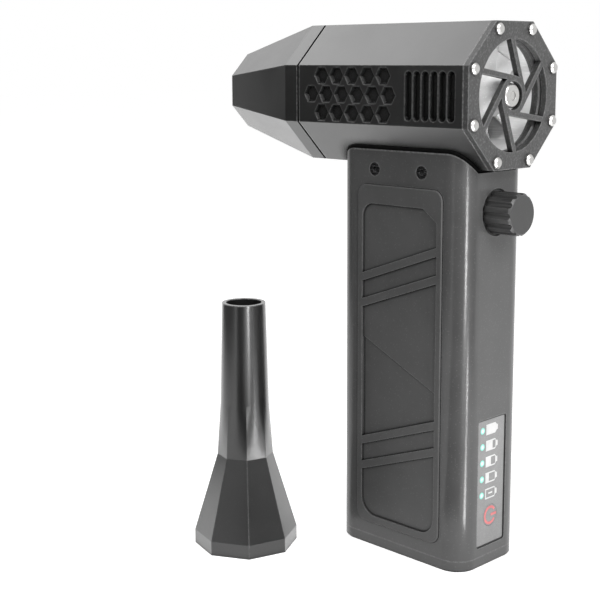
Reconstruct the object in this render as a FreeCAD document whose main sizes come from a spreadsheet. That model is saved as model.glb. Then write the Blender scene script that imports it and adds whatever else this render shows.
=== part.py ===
import FreeCAD, Part
import math
import os

import Sketcher
from FreeCAD import Placement, Rotation, Vector

# A cordless hand-held jet blower for drying cars, in millimetres.
# The origin is the middle of the handle's base on the table. The fan's axis runs along X, with
# the outlet towards -X and the air inlet, the knob and the gauge towards +X. Z is up.

DRIVING_SIZES = {
    # head
    "axisHeight": 209.0,
    "barrelFlats": 62.0,
    "barrelLength": 94.7,
    "seamRingLength": 1.2,
    "seamRingSink": 0.8,
    "guardThickness": 2.7,
    "rearOverhang": 44.5,
    "collarLength": 7.8,
    "coneLength": 52.9,
    "coneTipFlats": 35.3,
    "tipBevel": 1.0,
    "outletRadius": 15.5,
    "spigotLength": 6.0,
    # hexagon pockets and upright slots in the side facets
    "hexFlats": 7.45,
    "hexPitch": 9.23,
    "hexRowPitch": 8.2,
    "hexRowShift": 6.37,
    "hexDepth": 1.2,
    "hexFirst": 8.0,
    "hexBevel": 40.0,
    "slotWidth": 4.0,
    "slotLength": 21.0,
    "slotCorner": 1.95,
    "slotPitch": 4.6,
    "slotDepth": 1.5,
    "slotBevel": 35.0,
    "slotLast": 6.2,
    # guard
    "screwCircle": 29.87,
    "guardHubBore": 6.1,
    "guardHubRadius": 8.45,
    "finWidth": 2.3,
    "finAngle": 21.4,
    "finCount": 6,
    "guardHeadRadius": 2.45,
    "guardHeadHeight": 1.7,
    "guardHeadBevel": 0.76,
    "guardShankRadius": 1.25,
    "guardShankLength": 9.0,
    "screwTipRoom": 0.5,
    # duct and fan
    "fanRadius": 23.4,
    "fanTipGap": 0.4,
    "ductWall": 2.6,
    "inletRingLength": 5.0,
    "inletLip": 0.5,
    "inletFlare": 1.4,
    "fanHubFront": 12.0,
    "fanHubRear": 9.0,
    "fanHubLength": 15.0,
    "fanFront": 19.0,
    "bladeCount": 9,
    "bladeRootChord": 13.5,
    "bladeChord": 15.0,
    "bladeTipChord": 17.2,
    "bladeRootThickness": 1.6,
    "bladeThickness": 1.3,
    "bladeTipThickness": 1.05,
    "bladeCamber": 0.8,
    "bladeRunOut": 2.5,
    "bladeRootAngle": 38.0,
    "bladeTipAngle": 62.0,
    "spinnerRadius": 5.2,
    "spinnerRecess": 0.5,
    "spinnerSeat": 1.3,
    "spinnerBevel": 0.7,
    "spinnerFit": 0.05,
    "shaftRadius": 2.0,
    "shaftEndGap": 0.3,
    # motor
    "motorRadius": 14.0,
    "motorRear": 14.0,
    "motorLength": 38.0,
    "motorWall": 1.4,
    "motorSlack": 0.03,
    "endWall": 2.0,
    "coreLength": 20.0,
    "coreRadius": 12.57,
    "yokeWall": 1.8,
    "toothCount": 6,
    "toothWidth": 3.0,
    "toothTip": 6.6,
    "coilOverhang": 2.2,
    "coilSide": 1.25,
    "coilTipGap": 0.7,
    "coilYokeGap": 0.4,
    "magnetGap": 0.7,
    "bearingRadius": 5.0,
    "bearingWidth": 3.0,
    "bearingWall": 1.6,
    "shaftHoleGap": 1.2,
    "runningGap": 0.05,
    "vaneCount": 7,
    "vaneThickness": 1.2,
    "vaneLength": 20.0,
    "vaneRingWall": 0.8,
    "vaneAngle": 14.0,
    "vaneBend": 4.0,
    "vaneSleeveWall": 1.0,
    "vaneSink": 0.1,
    "fairingLength": 24.0,
    "fairingMidRadius": 10.1,
    "fairingTipRadius": 2.6,
    "fairingWall": 1.4,
    # handle
    "handleDepth": 74.0,
    "handleWidth": 43.4,
    "handleCorner": 10.3,
    "handleWall": 2.4,
    "capHeight": 5.0,
    "capBevel": 0.8,
    "lipHeight": 3.0,
    "lipWall": 2.0,
    "gasketThickness": 1.4,
    "gasketInset": 0.5,
    "slipFit": 0.15,
    "screwSlack": 0.1,
    "wallSink": 0.3,
    # mounting saddle and its screws
    "saddleLength": 46.0,
    "saddleDepth": 8.6,
    "saddleCorner": 2.0,
    "sideScrewCentre": -0.85,
    "sideScrewSpacing": 27.1,
    "sideScrewDrop": 33.0,
    "sideHeadRadius": 2.75,
    "sideHeadHeight": 1.4,
    "sideBore": 3.0,
    "sideBoreDepth": 1.6,
    "sideShankRadius": 1.5,
    "sideShankLength": 7.0,
    "socketWidth": 2.5,
    "socketDepth": 1.1,
    "saddleScrewX": 19.0,
    "saddleScrewY": 9.5,
    "saddleShankRadius": 1.25,
    "saddleHeadRadius": 2.5,
    "saddleHeadHeight": 2.0,
    "saddleBite": 3.0,
    "channelLength": 13.0,
    "channelWidth": 12.0,
    "channelCorner": 1.5,
    "leadCentre": -16.0,
    # side panels
    "panelWidth": 48.6,
    "panelHeight": 158.0,
    "panelBottom": 11.1,
    "panelShift": 0.6,
    "panelCorner": 5.0,
    "panelThickness": 2.3,
    "panelSeat": 1.5,
    "panelBevel": 0.4,
    "panelBorder": 2.8,
    "panelTopBorder": 8.5,
    "panelBottomBorder": 3.6,
    "pocketDepth": 1.1,
    "stepDepth": 0.7,
    "stepDrop": 1.0,
    "ribWidth": 3.8,
    "stripHeight": 8.2,
    "ribSlope": 20.0,
    "ribBandHeight": 38.5,
    "stepSlope": 25.0,
    "upperPocketCorner": 6.0,
    "upperPocketChamfer": 7.8,
    "upperPocketFall": 5.85,
    "lowerPocketCorner": 8.0,
    # gauge label, lamps and power key
    "labelWidth": 20.0,
    "labelHeight": 58.5,
    "labelBottom": 9.2,
    "labelSeat": 1.5,
    "labelThickness": 1.0,
    "labelLedge": 2.0,
    "labelCorner": 1.2,
    "lampRadius": 1.5,
    "lampColumn": -6.3,
    "lampTop": 62.6,
    "lampPitch": 7.4,
    "lampFit": 0.05,
    "keyRadius": 4.9,
    "keyGap": 0.15,
    "keyHeight": 22.6,
    "keyTravel": 0.3,
    "keyStemRadius": 1.6,
    "keyStemGap": 0.05,
    "gaugeBoardHeight": 60.0,
    "gaugeBoardBottom": 10.5,
    "gaugeBoardWidth": 19.0,
    "boardThickness": 1.6,
    "boardCorner": 1.2,
    "standoffHeight": 1.8,
    "standoffRadius": 2.0,
    "standoffInset": 2.2,
    "switchSize": 6.0,
    "switchHeight": 1.5,
    "switchCorner": 0.6,
    # speed knob
    "knobDrop": 50.0,
    "knobRadius": 9.25,
    "knobReach": 13.3,
    "knobGap": 0.4,
    "knobBevel": 0.9,
    "fluteCount": 12,
    "fluteRadius": 1.7,
    "fluteDepth": 0.8,
    "knobSeatRadius": 10.3,
    "knobSeatDepth": 0.8,
    "knobHollowRadius": 7.4,
    "knobHollowDepth": 6.0,
    "knobShaftRadius": 3.0,
    "knobShaftBite": 5.0,
    "bushingRadius": 4.5,
    "bushingReach": 2.6,
    "sensorRadius": 8.0,
    "sensorLength": 9.0,
    "sensorFloor": 1.2,
    "nutFlats": 12.0,
    "nutThickness": 2.0,
    # battery and electronics
    "cellRadius": 9.15,
    "cellLength": 65.0,
    "cellPitchX": 19.4,
    "cellPitchY": 18.8,
    "cellCentre": -2.4,
    "cellBottom": 16.0,
    "holderHeight": 4.0,
    "holderGap": 0.05,
    "holderSlack": 0.3,
    "holderRear": 29.5,
    "linkThickness": 0.3,
    "linkWidth": 8.0,
    "linkLength": 27.0,
    "linkCorner": 1.0,
    "holderPostHeight": 4.0,
    "holderPostRadius": 1.6,
    "holderPostReach": 28.7,
    "cornerPostX": 30.4,
    "cornerPostY": 15.1,
    "cornerPostRadius": 3.2,
    "baseShankRadius": 1.25,
    "baseShankLength": 10.0,
    "baseHeadRadius": 2.8,
    "baseHeadHeight": 1.2,
    "baseHeadSink": 0.3,
    "batteryBoardLength": 56.0,
    "batteryBoardWidth": 32.0,
    "controllerLength": 52.0,
    "controllerHeight": 54.0,
    "controllerBottom": 96.0,
    "controllerShift": -3.0,
    "controllerStandoff": 3.0,
    "controllerPostInset": 4.0,
    "chipWidth": 5.6,
    "chipLength": 6.8,
    "chipHeight": 1.6,
    "chipPitch": 9.0,
    "chipRowPitch": 11.0,
    "chipRise": 6.0,
    "capacitorRadius": 5.0,
    "capacitorHeight": 12.0,
    "capacitorSpacing": 16.0,
    "capacitorDrop": 16.0,
    "leadRadius": 1.2,
    "leadPitch": 3.2,
    "leadBend": 5.0,
    "leadRise": 6.0,
    "leadTail": 4.0,
    "leadOffBoard": 2.0,
    "supplyLeadReach": 20.0,
    "supplyLeadBend": 3.0,
    "supplyLeadStep": 5.0,
    "portShift": 14.0,
    "portWidth": 9.2,
    "portHeight": 3.5,
    "portCorner": 1.68,
    "portWall": 0.35,
    "portLength": 7.4,
    "portRecess": 0.4,
    "portBack": 0.8,
    "tongueWidth": 6.4,
    "tongueThickness": 0.7,
    "tongueLength": 6.4,
    "chargeBoardLength": 22.0,
    "chargeBoardWidth": 14.0,
    # spare nozzle
    "nozzleX": -60.8,
    "nozzleY": -59.2,
    "nozzleTurn": 6.2,
    "nozzleFlats": 44.2,
    "nozzleCollar": 6.5,
    "nozzleNeckFlats": 23.8,
    "nozzleNeckHeight": 43.0,
    "nozzleTubeStart": 68.0,
    "nozzleTubeRadius": 11.2,
    "nozzleTopRadius": 10.0,
    "nozzleHeight": 114.5,
    "nozzleWall": 1.8,
}

HALF_OCTANT = math.radians(22.5)
TAN_OCTANT = math.tan(HALF_OCTANT)
ROOT_TWO = math.sqrt(2.0)
ROOT_THREE = math.sqrt(3.0)
OCTAGON_SIDES = 8
HEXAGON_SIDES = 6
LAMP_COUNT = 5
SLOT_COUNT = 6
# how far a cut runs past the face that it opens
PAST = 1.0

doc = FreeCAD.newDocument("hand_blower")
sheet = doc.addObject("Spreadsheet::Sheet", "Sizes")


class Size:
    """A length with the sheet expression that gives it."""

    def __init__(self, value, text):
        self.value = float(value)
        self.text = text

    def __float__(self):
        return self.value

    def __add__(self, other):
        other = as_size(other)
        return Size(self.value + other.value, f"({self.text} + {other.text})")

    def __sub__(self, other):
        other = as_size(other)
        return Size(self.value - other.value, f"({self.text} - {other.text})")

    def __mul__(self, other):
        other = as_size(other)
        return Size(self.value * other.value, f"({self.text} * {other.text})")

    def __truediv__(self, other):
        other = as_size(other)
        return Size(self.value / other.value, f"({self.text} / {other.text})")

    def __radd__(self, other):
        return as_size(other) + self

    def __rsub__(self, other):
        return as_size(other) - self

    def __rmul__(self, other):
        return as_size(other) * self

    def __neg__(self):
        return Size(-self.value, f"(0 - {self.text})")


def as_size(number):
    if isinstance(number, Size):
        return number
    return Size(number, f"({float(number):.9f})")


def fill_sheet():
    for row, (alias, value) in enumerate(DRIVING_SIZES.items(), start=1):
        sheet.set(f"A{row}", alias)
        sheet.set(f"B{row}", str(value))
        sheet.setAlias(f"B{row}", alias)
    doc.recompute()


def size(alias):
    return Size(sheet.get(alias), f"Sizes.{alias}")


fill_sheet()

# Places along the fan's axis
guard_rear = size("rearOverhang")
guard_front = guard_rear - size("guardThickness")
barrel_front = guard_front - size("barrelLength")
ring_front = barrel_front - size("seamRingLength")
collar_end = ring_front - size("collarLength")
cone_tip = collar_end - size("coneLength")
duct_rear = guard_front - size("inletRingLength")
duct_front = barrel_front + size("spigotLength")
motor_front = size("motorRear") - size("motorLength")
fan_rear = size("fanFront") + size("fanHubLength")
spinner_seat = guard_front - size("spinnerSeat")
spinner_face = guard_rear - size("spinnerRecess")

# Radii about the fan's axis
barrel_half = size("barrelFlats") / 2
duct_bore = size("fanRadius") + size("fanTipGap")
duct_outer = duct_bore + size("ductWall")
barrel_bore = duct_outer + size("slipFit")

# The handle's outline and its top edge under the barrel
axis_height = size("axisHeight")
handle_x = size("handleDepth") / 2
handle_y = size("handleWidth") / 2
cavity_x = handle_x - size("handleWall")
cavity_y = handle_y - size("handleWall")
cavity_corner = size("handleCorner") - size("handleWall")
saddle_half = barrel_half + size("gasketThickness")
handle_top = axis_height - (saddle_half * ROOT_TWO - handle_y)
side_screw_height = axis_height - size("sideScrewDrop")
knob_height = axis_height - size("knobDrop")
panel_middle = size("panelBottom") + size("panelHeight") / 2

# Faces of the rear wall's fittings
label_floor = handle_x - size("labelSeat")
label_face = label_floor + size("labelThickness")
label_middle = size("labelBottom") + size("labelHeight") / 2
board_face = cavity_x - size("standoffHeight")
knob_seat = handle_x - size("knobSeatDepth")
knob_back = knob_seat + size("knobGap")
knob_end = handle_x + size("knobReach")

# Battery stack
cell_top = size("cellBottom") + size("cellLength")
battery_board_bottom = cell_top + size("holderPostHeight")
controller_y = cavity_y - size("controllerStandoff") - size("boardThickness")
controller_middle = size("controllerBottom") + size("controllerHeight") / 2
gauge_middle = size("gaugeBoardBottom") + size("gaugeBoardHeight") / 2


# Small drawing tools

def bind(item, path, length):
    item.setExpression(path, as_size(length).text)


def new_body(name, lift=None):
    item = doc.addObject("PartDesign::Body", name)
    item.Label = name
    item.AllowCompound = True
    if lift is not None:
        bind(item, "Placement.Base.z", lift)
    return item


def origin_part(item, role):
    return [part for part in item.Origin.OriginFeatures if part.Role == role][0]


def sketch(item, plane, offset=0.0):
    """An empty sketch on one of the body's own planes, moved along that plane's normal."""
    drawing = item.newObject("Sketcher::SketchObject", item.Name + "_sketch")
    drawing.AttachmentSupport = [(origin_part(item, plane), "")]
    drawing.MapMode = "FlatFace"
    bind(drawing, "AttachmentOffset.Base.z", offset)
    return drawing


def pin(drawing, shape, end, across, up):
    """Holds one point of a sketch at two sizes from the sketch's origin."""
    for kind, axis, length in (("DistanceX", -2, across), ("DistanceY", -1, up)):
        if abs(float(length)) < 1e-9:
            drawing.addConstraint(Sketcher.Constraint("PointOnObject", shape, end, axis))
            continue
        place = drawing.addConstraint(
            Sketcher.Constraint(kind, -1, 1, shape, end, float(length)))
        bind(drawing, f"Constraints[{place}]", length)


def polygon(drawing, corners):
    """A closed outline with straight sides."""
    spots = [Vector(float(across), float(up), 0) for across, up in corners]
    first = drawing.GeometryCount
    count = len(spots)
    for side in range(count):
        drawing.addGeometry(Part.LineSegment(spots[side], spots[(side + 1) % count]), False)
    for side in range(count):
        drawing.addConstraint(Sketcher.Constraint(
            "Coincident", first + side, 2, first + (side + 1) % count, 1))
    for side, (across, up) in enumerate(corners):
        pin(drawing, first + side, 1, across, up)


def circle(drawing, radius, across=0.0, up=0.0):
    centre = Vector(float(across), float(up), 0)
    shape = drawing.addGeometry(Part.Circle(centre, Vector(0, 0, 1), float(radius)), False)
    pin(drawing, shape, 3, across, up)
    place = drawing.addConstraint(Sketcher.Constraint("Radius", shape, float(radius)))
    bind(drawing, f"Constraints[{place}]", radius)


def rounded_rectangle(drawing, half_across, half_up, radius, across=0.0, up=0.0):
    """Four lines joined by four quarter arcs, each arc tangent to its lines."""
    reach_x = half_across - radius
    reach_y = half_up - radius
    corners = [(reach_x, reach_y, 0), (-reach_x, reach_y, 90),
               (-reach_x, -reach_y, 180), (reach_x, -reach_y, 270)]
    arcs = []
    ends = []
    for off_x, off_y, turn in corners:
        middle_x = across + off_x
        middle_y = up + off_y
        centre = Vector(float(middle_x), float(middle_y), 0)
        low, high = math.radians(turn), math.radians(turn + 90)
        ring = Part.Circle(centre, Vector(0, 0, 1), float(radius))
        shape = drawing.addGeometry(Part.ArcOfCircle(ring, low, high), False)
        pin(drawing, shape, 3, middle_x, middle_y)
        place = drawing.addConstraint(Sketcher.Constraint("Radius", shape, float(radius)))
        bind(drawing, f"Constraints[{place}]", radius)
        arcs.append(shape)
        start = centre + Vector(math.cos(low), math.sin(low), 0) * float(radius)
        finish = centre + Vector(math.cos(high), math.sin(high), 0) * float(radius)
        ends.append((start, finish))
    for corner in range(4):
        follower = (corner + 1) % 4
        line = drawing.addGeometry(
            Part.LineSegment(ends[corner][1], ends[follower][0]), False)
        drawing.addConstraint(Sketcher.Constraint("Tangent", arcs[corner], 2, line, 1))
        drawing.addConstraint(Sketcher.Constraint("Tangent", line, 2, arcs[follower], 1))


def hexagon(drawing, radius, across=0.0, up=0.0):
    """A regular hexagon with level top and bottom sides, by its corner radius."""
    corners = []
    for corner in range(HEXAGON_SIDES):
        turn = 2 * math.pi * corner / HEXAGON_SIDES
        corners.append((across + radius * math.cos(turn), up + radius * math.sin(turn)))
    polygon(drawing, corners)


def octagon(drawing, half, up=0.0):
    """A regular octagon with level top and bottom sides."""
    near = half * TAN_OCTANT
    polygon(drawing, [(half, up + near), (near, up + half), (-near, up + half), (-half, up + near),
                      (-half, up - near), (-near, up - half), (near, up - half), (half, up - near)])


def finish_feature(item, feature):
    item.Tip = feature
    return feature


def pad(item, drawing, length, back=False):
    feature = item.newObject("PartDesign::Pad", item.Name + "_pad")
    feature.Profile = drawing
    bind(feature, "Length", length)
    feature.Reversed = back
    return finish_feature(item, feature)


def pocket(item, drawing, depth, back=False, taper=None):
    feature = item.newObject("PartDesign::Pocket", item.Name + "_pocket")
    feature.Profile = drawing
    bind(feature, "Length", depth)
    feature.Reversed = back
    if taper is not None:
        bind(feature, "TaperAngle", taper)
    return finish_feature(item, feature)


def revolve(item, drawing, axis="H_Axis"):
    feature = item.newObject("PartDesign::Revolution", item.Name + "_turned")
    feature.Profile = drawing
    feature.ReferenceAxis = (drawing, [axis])
    feature.Angle = 360
    return finish_feature(item, feature)


def groove(item, drawing, axis="H_Axis"):
    feature = item.newObject("PartDesign::Groove", item.Name + "_bored")
    feature.Profile = drawing
    feature.ReferenceAxis = (drawing, [axis])
    feature.Angle = 360
    return finish_feature(item, feature)


def loft(item, first, second):
    feature = item.newObject("PartDesign::AdditiveLoft", item.Name + "_taper")
    feature.Profile = first
    feature.Sections = [second]
    feature.Ruled = True
    return finish_feature(item, feature)


def polar(item, feature, count, role="X_Axis"):
    pattern = item.newObject("PartDesign::PolarPattern", item.Name + "_around")
    pattern.Originals = [feature]
    pattern.Axis = (origin_part(item, role), [""])
    pattern.Angle = 360
    bind(pattern, "Occurrences", count)
    return finish_feature(item, pattern)


def row(item, feature, drawing, pitch, count, axis="H_Axis", back=False):
    """Copies a feature along one of its sketch's axes."""
    pattern = item.newObject("PartDesign::LinearPattern", item.Name + "_row")
    pattern.Originals = [feature]
    pattern.Direction = (drawing, [axis])
    pattern.Reversed = back
    bind(pattern, "Length", pitch * (count - 1))
    pattern.Occurrences = count
    return finish_feature(item, pattern)


def edge_names(item, test):
    """Names of the edges of a body's last feature that pass a test."""
    doc.recompute()
    edges = item.Tip.Shape.Edges
    return [f"Edge{number}" for number, edge in enumerate(edges, start=1) if test(edge)]


def edge_ends(edge):
    return [vertex.Point for vertex in edge.Vertexes]


def dress(item, kind, ending, sized, amount, test):
    base = item.Tip
    names = edge_names(item, test)
    feature = item.newObject(kind, item.Name + ending)
    feature.Base = (base, names)
    bind(feature, sized, amount)
    return finish_feature(item, feature)


def bevel(item, width, test):
    return dress(item, "PartDesign::Chamfer", "_bevel", "Size", width, test)


def round_edges(item, radius, test):
    return dress(item, "PartDesign::Fillet", "_round", "Radius", radius, test)


def corner_signs():
    return [(side_x, side_y) for side_x in (-1, 1) for side_y in (-1, 1)]


def all_at(axis, place):
    """A test for edges whose points all lie at one place along an axis."""
    def test(edge):
        box = edge.BoundBox
        low = getattr(box, axis + "Min")
        high = getattr(box, axis + "Max")
        return abs(low - float(place)) < 1e-4 and abs(high - float(place)) < 1e-4
    return test


def set_shape(name, shape, base=Vector(), turn=0.0):
    """A sub-part whose form is worked out by Part's own functions; turn is about Z."""
    item = doc.addObject("Part::Feature", name)
    item.Label = name
    item.Shape = shape
    item.Placement = Placement(base, Rotation(Vector(0, 0, 1), turn))
    return item


# Head: casings

def turned_part(name, profile):
    """A ring or disc about the fan's axis from its half section, as (along, radius) pairs."""
    item = new_body(name, axis_height)
    drawing = sketch(item, "XZ_Plane")
    polygon(drawing, profile)
    revolve(item, drawing)
    return item


def barrel_housing():
    item = new_body("barrel_housing", axis_height)
    drawing = sketch(item, "YZ_Plane", barrel_front)
    octagon(drawing, barrel_half)
    pad(item, drawing, size("barrelLength"))
    drawing = sketch(item, "YZ_Plane", guard_front)
    circle(drawing, barrel_bore)
    pocket(item, drawing, size("barrelLength"))
    barrel_pockets(item)
    # rear screw holes
    depth = size("guardShankLength") - size("guardThickness") + size("screwTipRoom")
    guard_holes(item, guard_front, depth)
    # passage for the motor leads and pilot holes for the saddle's screws
    lead_channel(item, -barrel_half, barrel_half - duct_bore)
    for side_x, side_y in corner_signs():
        drawing = sketch(item, "XY_Plane", -barrel_half)
        circle(drawing, size("saddleShankRadius"),
               size("sideScrewCentre") + side_x * size("saddleScrewX"),
               side_y * size("saddleScrewY"))
        pocket(item, drawing, size("saddleBite"), back=True)
    return item


def guard_corner(drawing, radius):
    """A circle on the corner line of the octagon, where a guard screw sits."""
    circle(drawing, radius, size("screwCircle") * math.cos(HALF_OCTANT),
           size("screwCircle") * math.sin(HALF_OCTANT))


def guard_holes(item, face, depth):
    drawing = sketch(item, "YZ_Plane", face)
    guard_corner(drawing, size("guardShankRadius"))
    polar(item, pocket(item, drawing, depth), OCTAGON_SIDES)


def lead_channel(item, low, depth):
    """An upright passage for the motor leads, cut upwards from a level."""
    drawing = sketch(item, "XY_Plane", low)
    rounded_rectangle(drawing, size("channelLength") / 2, size("channelWidth") / 2,
                      size("channelCorner"), across=size("leadCentre"))
    pocket(item, drawing, depth, back=True)


def barrel_pockets(item):
    """Hexagon pockets in three rows and upright slots, blind, in both side facets."""
    middle_row = barrel_front + size("hexFirst")
    outer_row = middle_row + size("hexRowShift")
    slot_row = guard_front - size("slotLast") - (SLOT_COUNT - 1) * size("slotPitch")
    for side in (-1, 1):
        for level, start, count in ((-1, outer_row, 5), (0, middle_row, 6), (1, outer_row, 5)):
            drawing = sketch(item, "XZ_Plane", -side * barrel_half)
            hexagon(drawing, size("hexFlats") / ROOT_THREE, start, level * size("hexRowPitch"))
            cut = pocket(item, drawing, size("hexDepth"), back=side > 0, taper=-size("hexBevel"))
            row(item, cut, drawing, size("hexPitch"), count)
        drawing = sketch(item, "XZ_Plane", -side * barrel_half)
        rounded_rectangle(drawing, size("slotWidth") / 2, size("slotLength") / 2,
                          size("slotCorner"), across=slot_row)
        cut = pocket(item, drawing, size("slotDepth"), back=side > 0, taper=-size("slotBevel"))
        row(item, cut, drawing, size("slotPitch"), SLOT_COUNT)


def seam_ring():
    """A sealing ring, sunk below the facets, that leaves a dark line between the casings."""
    item = new_body("seam_ring", axis_height)
    drawing = sketch(item, "YZ_Plane", ring_front)
    octagon(drawing, barrel_half - size("seamRingSink"))
    circle(drawing, barrel_bore)
    pad(item, drawing, size("seamRingLength"))
    return item


def front_cone():
    item = new_body("front_cone", axis_height)
    drawing = sketch(item, "YZ_Plane", collar_end)
    octagon(drawing, barrel_half)
    pad(item, drawing, size("collarLength"))
    wide = sketch(item, "YZ_Plane", collar_end)
    octagon(wide, barrel_half)
    narrow = sketch(item, "YZ_Plane", cone_tip)
    octagon(narrow, size("coneTipFlats") / 2)
    loft(item, wide, narrow)
    bevel(item, size("tipBevel"), all_at("X", cone_tip))
    # spigot that passes the seam ring into the housing
    drawing = sketch(item, "YZ_Plane", ring_front)
    circle(drawing, duct_outer)
    pad(item, drawing, size("seamRingLength") + size("spigotLength"))
    drawing = sketch(item, "XZ_Plane")
    polygon(drawing, [(cone_tip - PAST, 0.0), (cone_tip - PAST, size("outletRadius")),
                      (cone_tip, size("outletRadius")), (ring_front, duct_bore),
                      (duct_front + PAST, duct_bore), (duct_front + PAST, 0.0)])
    groove(item, drawing)
    return item


def rear_guard():
    item = new_body("rear_guard", axis_height)
    thick = size("guardThickness")
    drawing = sketch(item, "YZ_Plane", guard_front)
    octagon(drawing, barrel_half)
    circle(drawing, duct_bore)
    pad(item, drawing, thick)
    drawing = sketch(item, "YZ_Plane", guard_front)
    circle(drawing, size("guardHubRadius"))
    circle(drawing, size("guardHubBore"))
    pad(item, drawing, thick)
    # one fin, tangent to the hub ring, from the hub to the frame
    drawing = sketch(item, "YZ_Plane", guard_front)
    turn = math.radians(float(size("finAngle")))
    high = size("guardHubRadius")
    low = high - size("finWidth")
    corners = []
    for off, along in ((low, 0.0), (high, 0.0), (high, duct_bore), (low, duct_bore)):
        corners.append((off * math.cos(turn) - along * math.sin(turn),
                        off * math.sin(turn) + along * math.cos(turn)))
    polygon(drawing, corners)
    fin = pad(item, drawing, thick)
    polar(item, fin, size("finCount"))
    guard_holes(item, guard_rear, thick)
    return item


def guard_screws():
    """Eight pan-head screws, one at each corner of the guard."""
    item = new_body("guard_screws", axis_height)
    drawing = sketch(item, "YZ_Plane", guard_rear)
    guard_corner(drawing, size("guardShankRadius"))
    shank = pad(item, drawing, size("guardShankLength"), back=True)
    polar(item, shank, OCTAGON_SIDES)
    drawing = sketch(item, "YZ_Plane", guard_rear)
    guard_corner(drawing, size("guardHeadRadius"))
    head = pad(item, drawing, size("guardHeadHeight"))
    polar(item, head, OCTAGON_SIDES)
    bevel(item, size("guardHeadBevel"), all_at("X", guard_rear + size("guardHeadHeight")))
    return item


def inlet_ring():
    """A ring with a flared mouth and a lip that overhangs the blade tips."""
    lip = duct_bore - size("inletLip")
    flare = size("inletFlare")
    return turned_part("inlet_ring", [
        (guard_front, duct_outer), (guard_front, duct_bore + flare), (guard_front - flare, lip),
        (duct_rear + flare, lip), (duct_rear, duct_bore), (duct_rear, duct_outer)])


def duct_tube():
    item = turned_part("duct_tube", [
        (duct_front, duct_bore), (duct_rear, duct_bore),
        (duct_rear, duct_outer), (duct_front, duct_outer)])
    lead_channel(item, -duct_outer, size("ductWall") + PAST)
    return item


# Head: fan and motor

def blade_section(radius, turn, chord, thick):
    """A cambered blade section, two arcs from edge to edge, in a plane square to a radius."""
    along = Vector(math.cos(turn), math.sin(turn), 0) * (chord / 2)
    across = Vector(-math.sin(turn), math.cos(turn), 0)
    level = Vector(0, 0, radius)
    nose = level - along
    tail = level + along
    belly = level + across * float(size("bladeCamber"))
    crown = belly + across * thick
    return Part.Wire([Part.Arc(nose, crown, tail).toShape(),
                      Part.Arc(tail, belly, nose).toShape()])


def fan_blade():
    """A twisted blade from inside the hub to the rim, its tip cut round by the rim."""
    run_out = float(size("bladeRunOut"))
    tip = float(size("fanRadius"))
    root = float(size("fanHubRear")) - run_out
    beyond = tip + run_out
    low = math.radians(float(size("bladeRootAngle")))
    high = math.radians(float(size("bladeTipAngle")))
    sections = [
        blade_section(root, low, float(size("bladeRootChord")),
                      float(size("bladeRootThickness"))),
        blade_section((root + beyond) / 2, (low + high) / 2, float(size("bladeChord")),
                      float(size("bladeThickness"))),
        blade_section(beyond, high, float(size("bladeTipChord")),
                      float(size("bladeTipThickness")))]
    blade = Part.makeLoft(sections, True, True)
    centre = float(size("fanFront") + size("fanHubLength") / 2)
    blade.translate(Vector(centre, 0, 0))
    reach = float(size("bladeTipChord"))
    rim = Part.makeCylinder(tip, 2 * reach, Vector(centre - reach, 0, 0), Vector(1, 0, 0))
    return blade.common(rim)


def impeller():
    """Nine twisted blades on a hub that swells towards the motor."""
    front = float(size("fanFront"))
    rear = float(fan_rear)
    seat = float(spinner_seat)
    bore = float(size("shaftRadius") + size("spinnerFit"))
    hub_profile = Part.makePolygon([
        Vector(front, 0, bore), Vector(front, 0, float(size("fanHubFront"))),
        Vector(rear, 0, float(size("fanHubRear"))), Vector(seat, 0, float(size("spinnerRadius"))),
        Vector(seat, 0, bore), Vector(front, 0, bore)])
    hub = Part.Face(hub_profile).revolve(Vector(), Vector(1, 0, 0), 360)
    blade = fan_blade()
    count = int(float(size("bladeCount")))
    blades = []
    for number in range(count):
        turned = blade.copy()
        turned.rotate(Vector(), Vector(1, 0, 0), 360.0 * number / count)
        blades.append(turned)
    hole = Part.makeCylinder(bore, seat - front, Vector(front, 0, 0), Vector(1, 0, 0))
    wheel = hub.fuse(blades).cut(hole).removeSplitter()
    return set_shape("impeller", wheel, Vector(0, 0, float(axis_height)))


def spinner_nut():
    radius = size("spinnerRadius")
    bore = size("shaftRadius") + size("spinnerFit")
    edge = size("spinnerBevel")
    return turned_part("spinner_nut", [
        (spinner_seat, bore), (spinner_seat, radius), (spinner_face - edge, radius),
        (spinner_face, radius - edge), (spinner_face, bore)])


def motor_shaft():
    item = new_body("motor_shaft", axis_height)
    start = motor_front + size("shaftEndGap")
    finish = spinner_face - size("shaftEndGap")
    drawing = sketch(item, "YZ_Plane", start)
    circle(drawing, size("shaftRadius"))
    pad(item, drawing, finish - start)
    return item


def bearing_seat(end, inward):
    """Half section of a motor end wall with its bearing seat; inward is +1 or -1 along X."""
    seat = size("bearingRadius") + size("motorSlack")
    ring = seat + size("bearingWall")
    hole = size("shaftRadius") + size("shaftHoleGap")
    floor = end + inward * size("endWall")
    brim = floor + inward * size("bearingWidth")
    return [(end, hole), (end, size("motorRadius")), (floor, size("motorRadius")), (floor, ring),
            (brim, ring), (brim, seat), (floor, seat), (floor, hole)]


def motor_can():
    rear = size("motorRear")
    item = turned_part("motor_can", bearing_seat(rear, -1))
    drawing = sketch(item, "YZ_Plane", rear)
    circle(drawing, size("motorRadius"))
    circle(drawing, size("motorRadius") - size("motorWall"))
    pad(item, drawing, size("motorLength") - size("endWall"), back=True)
    return item


def motor_end_cap():
    return turned_part("motor_end_cap", bearing_seat(motor_front, 1))


def shaft_bearings():
    item = new_body("shaft_bearings", axis_height)
    inner = size("shaftRadius") + size("runningGap")
    for start in (motor_front + size("endWall"),
                  size("motorRear") - size("endWall") - size("bearingWidth")):
        drawing = sketch(item, "YZ_Plane", start)
        circle(drawing, size("bearingRadius"))
        circle(drawing, inner)
        pad(item, drawing, size("bearingWidth"))
    return item


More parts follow.
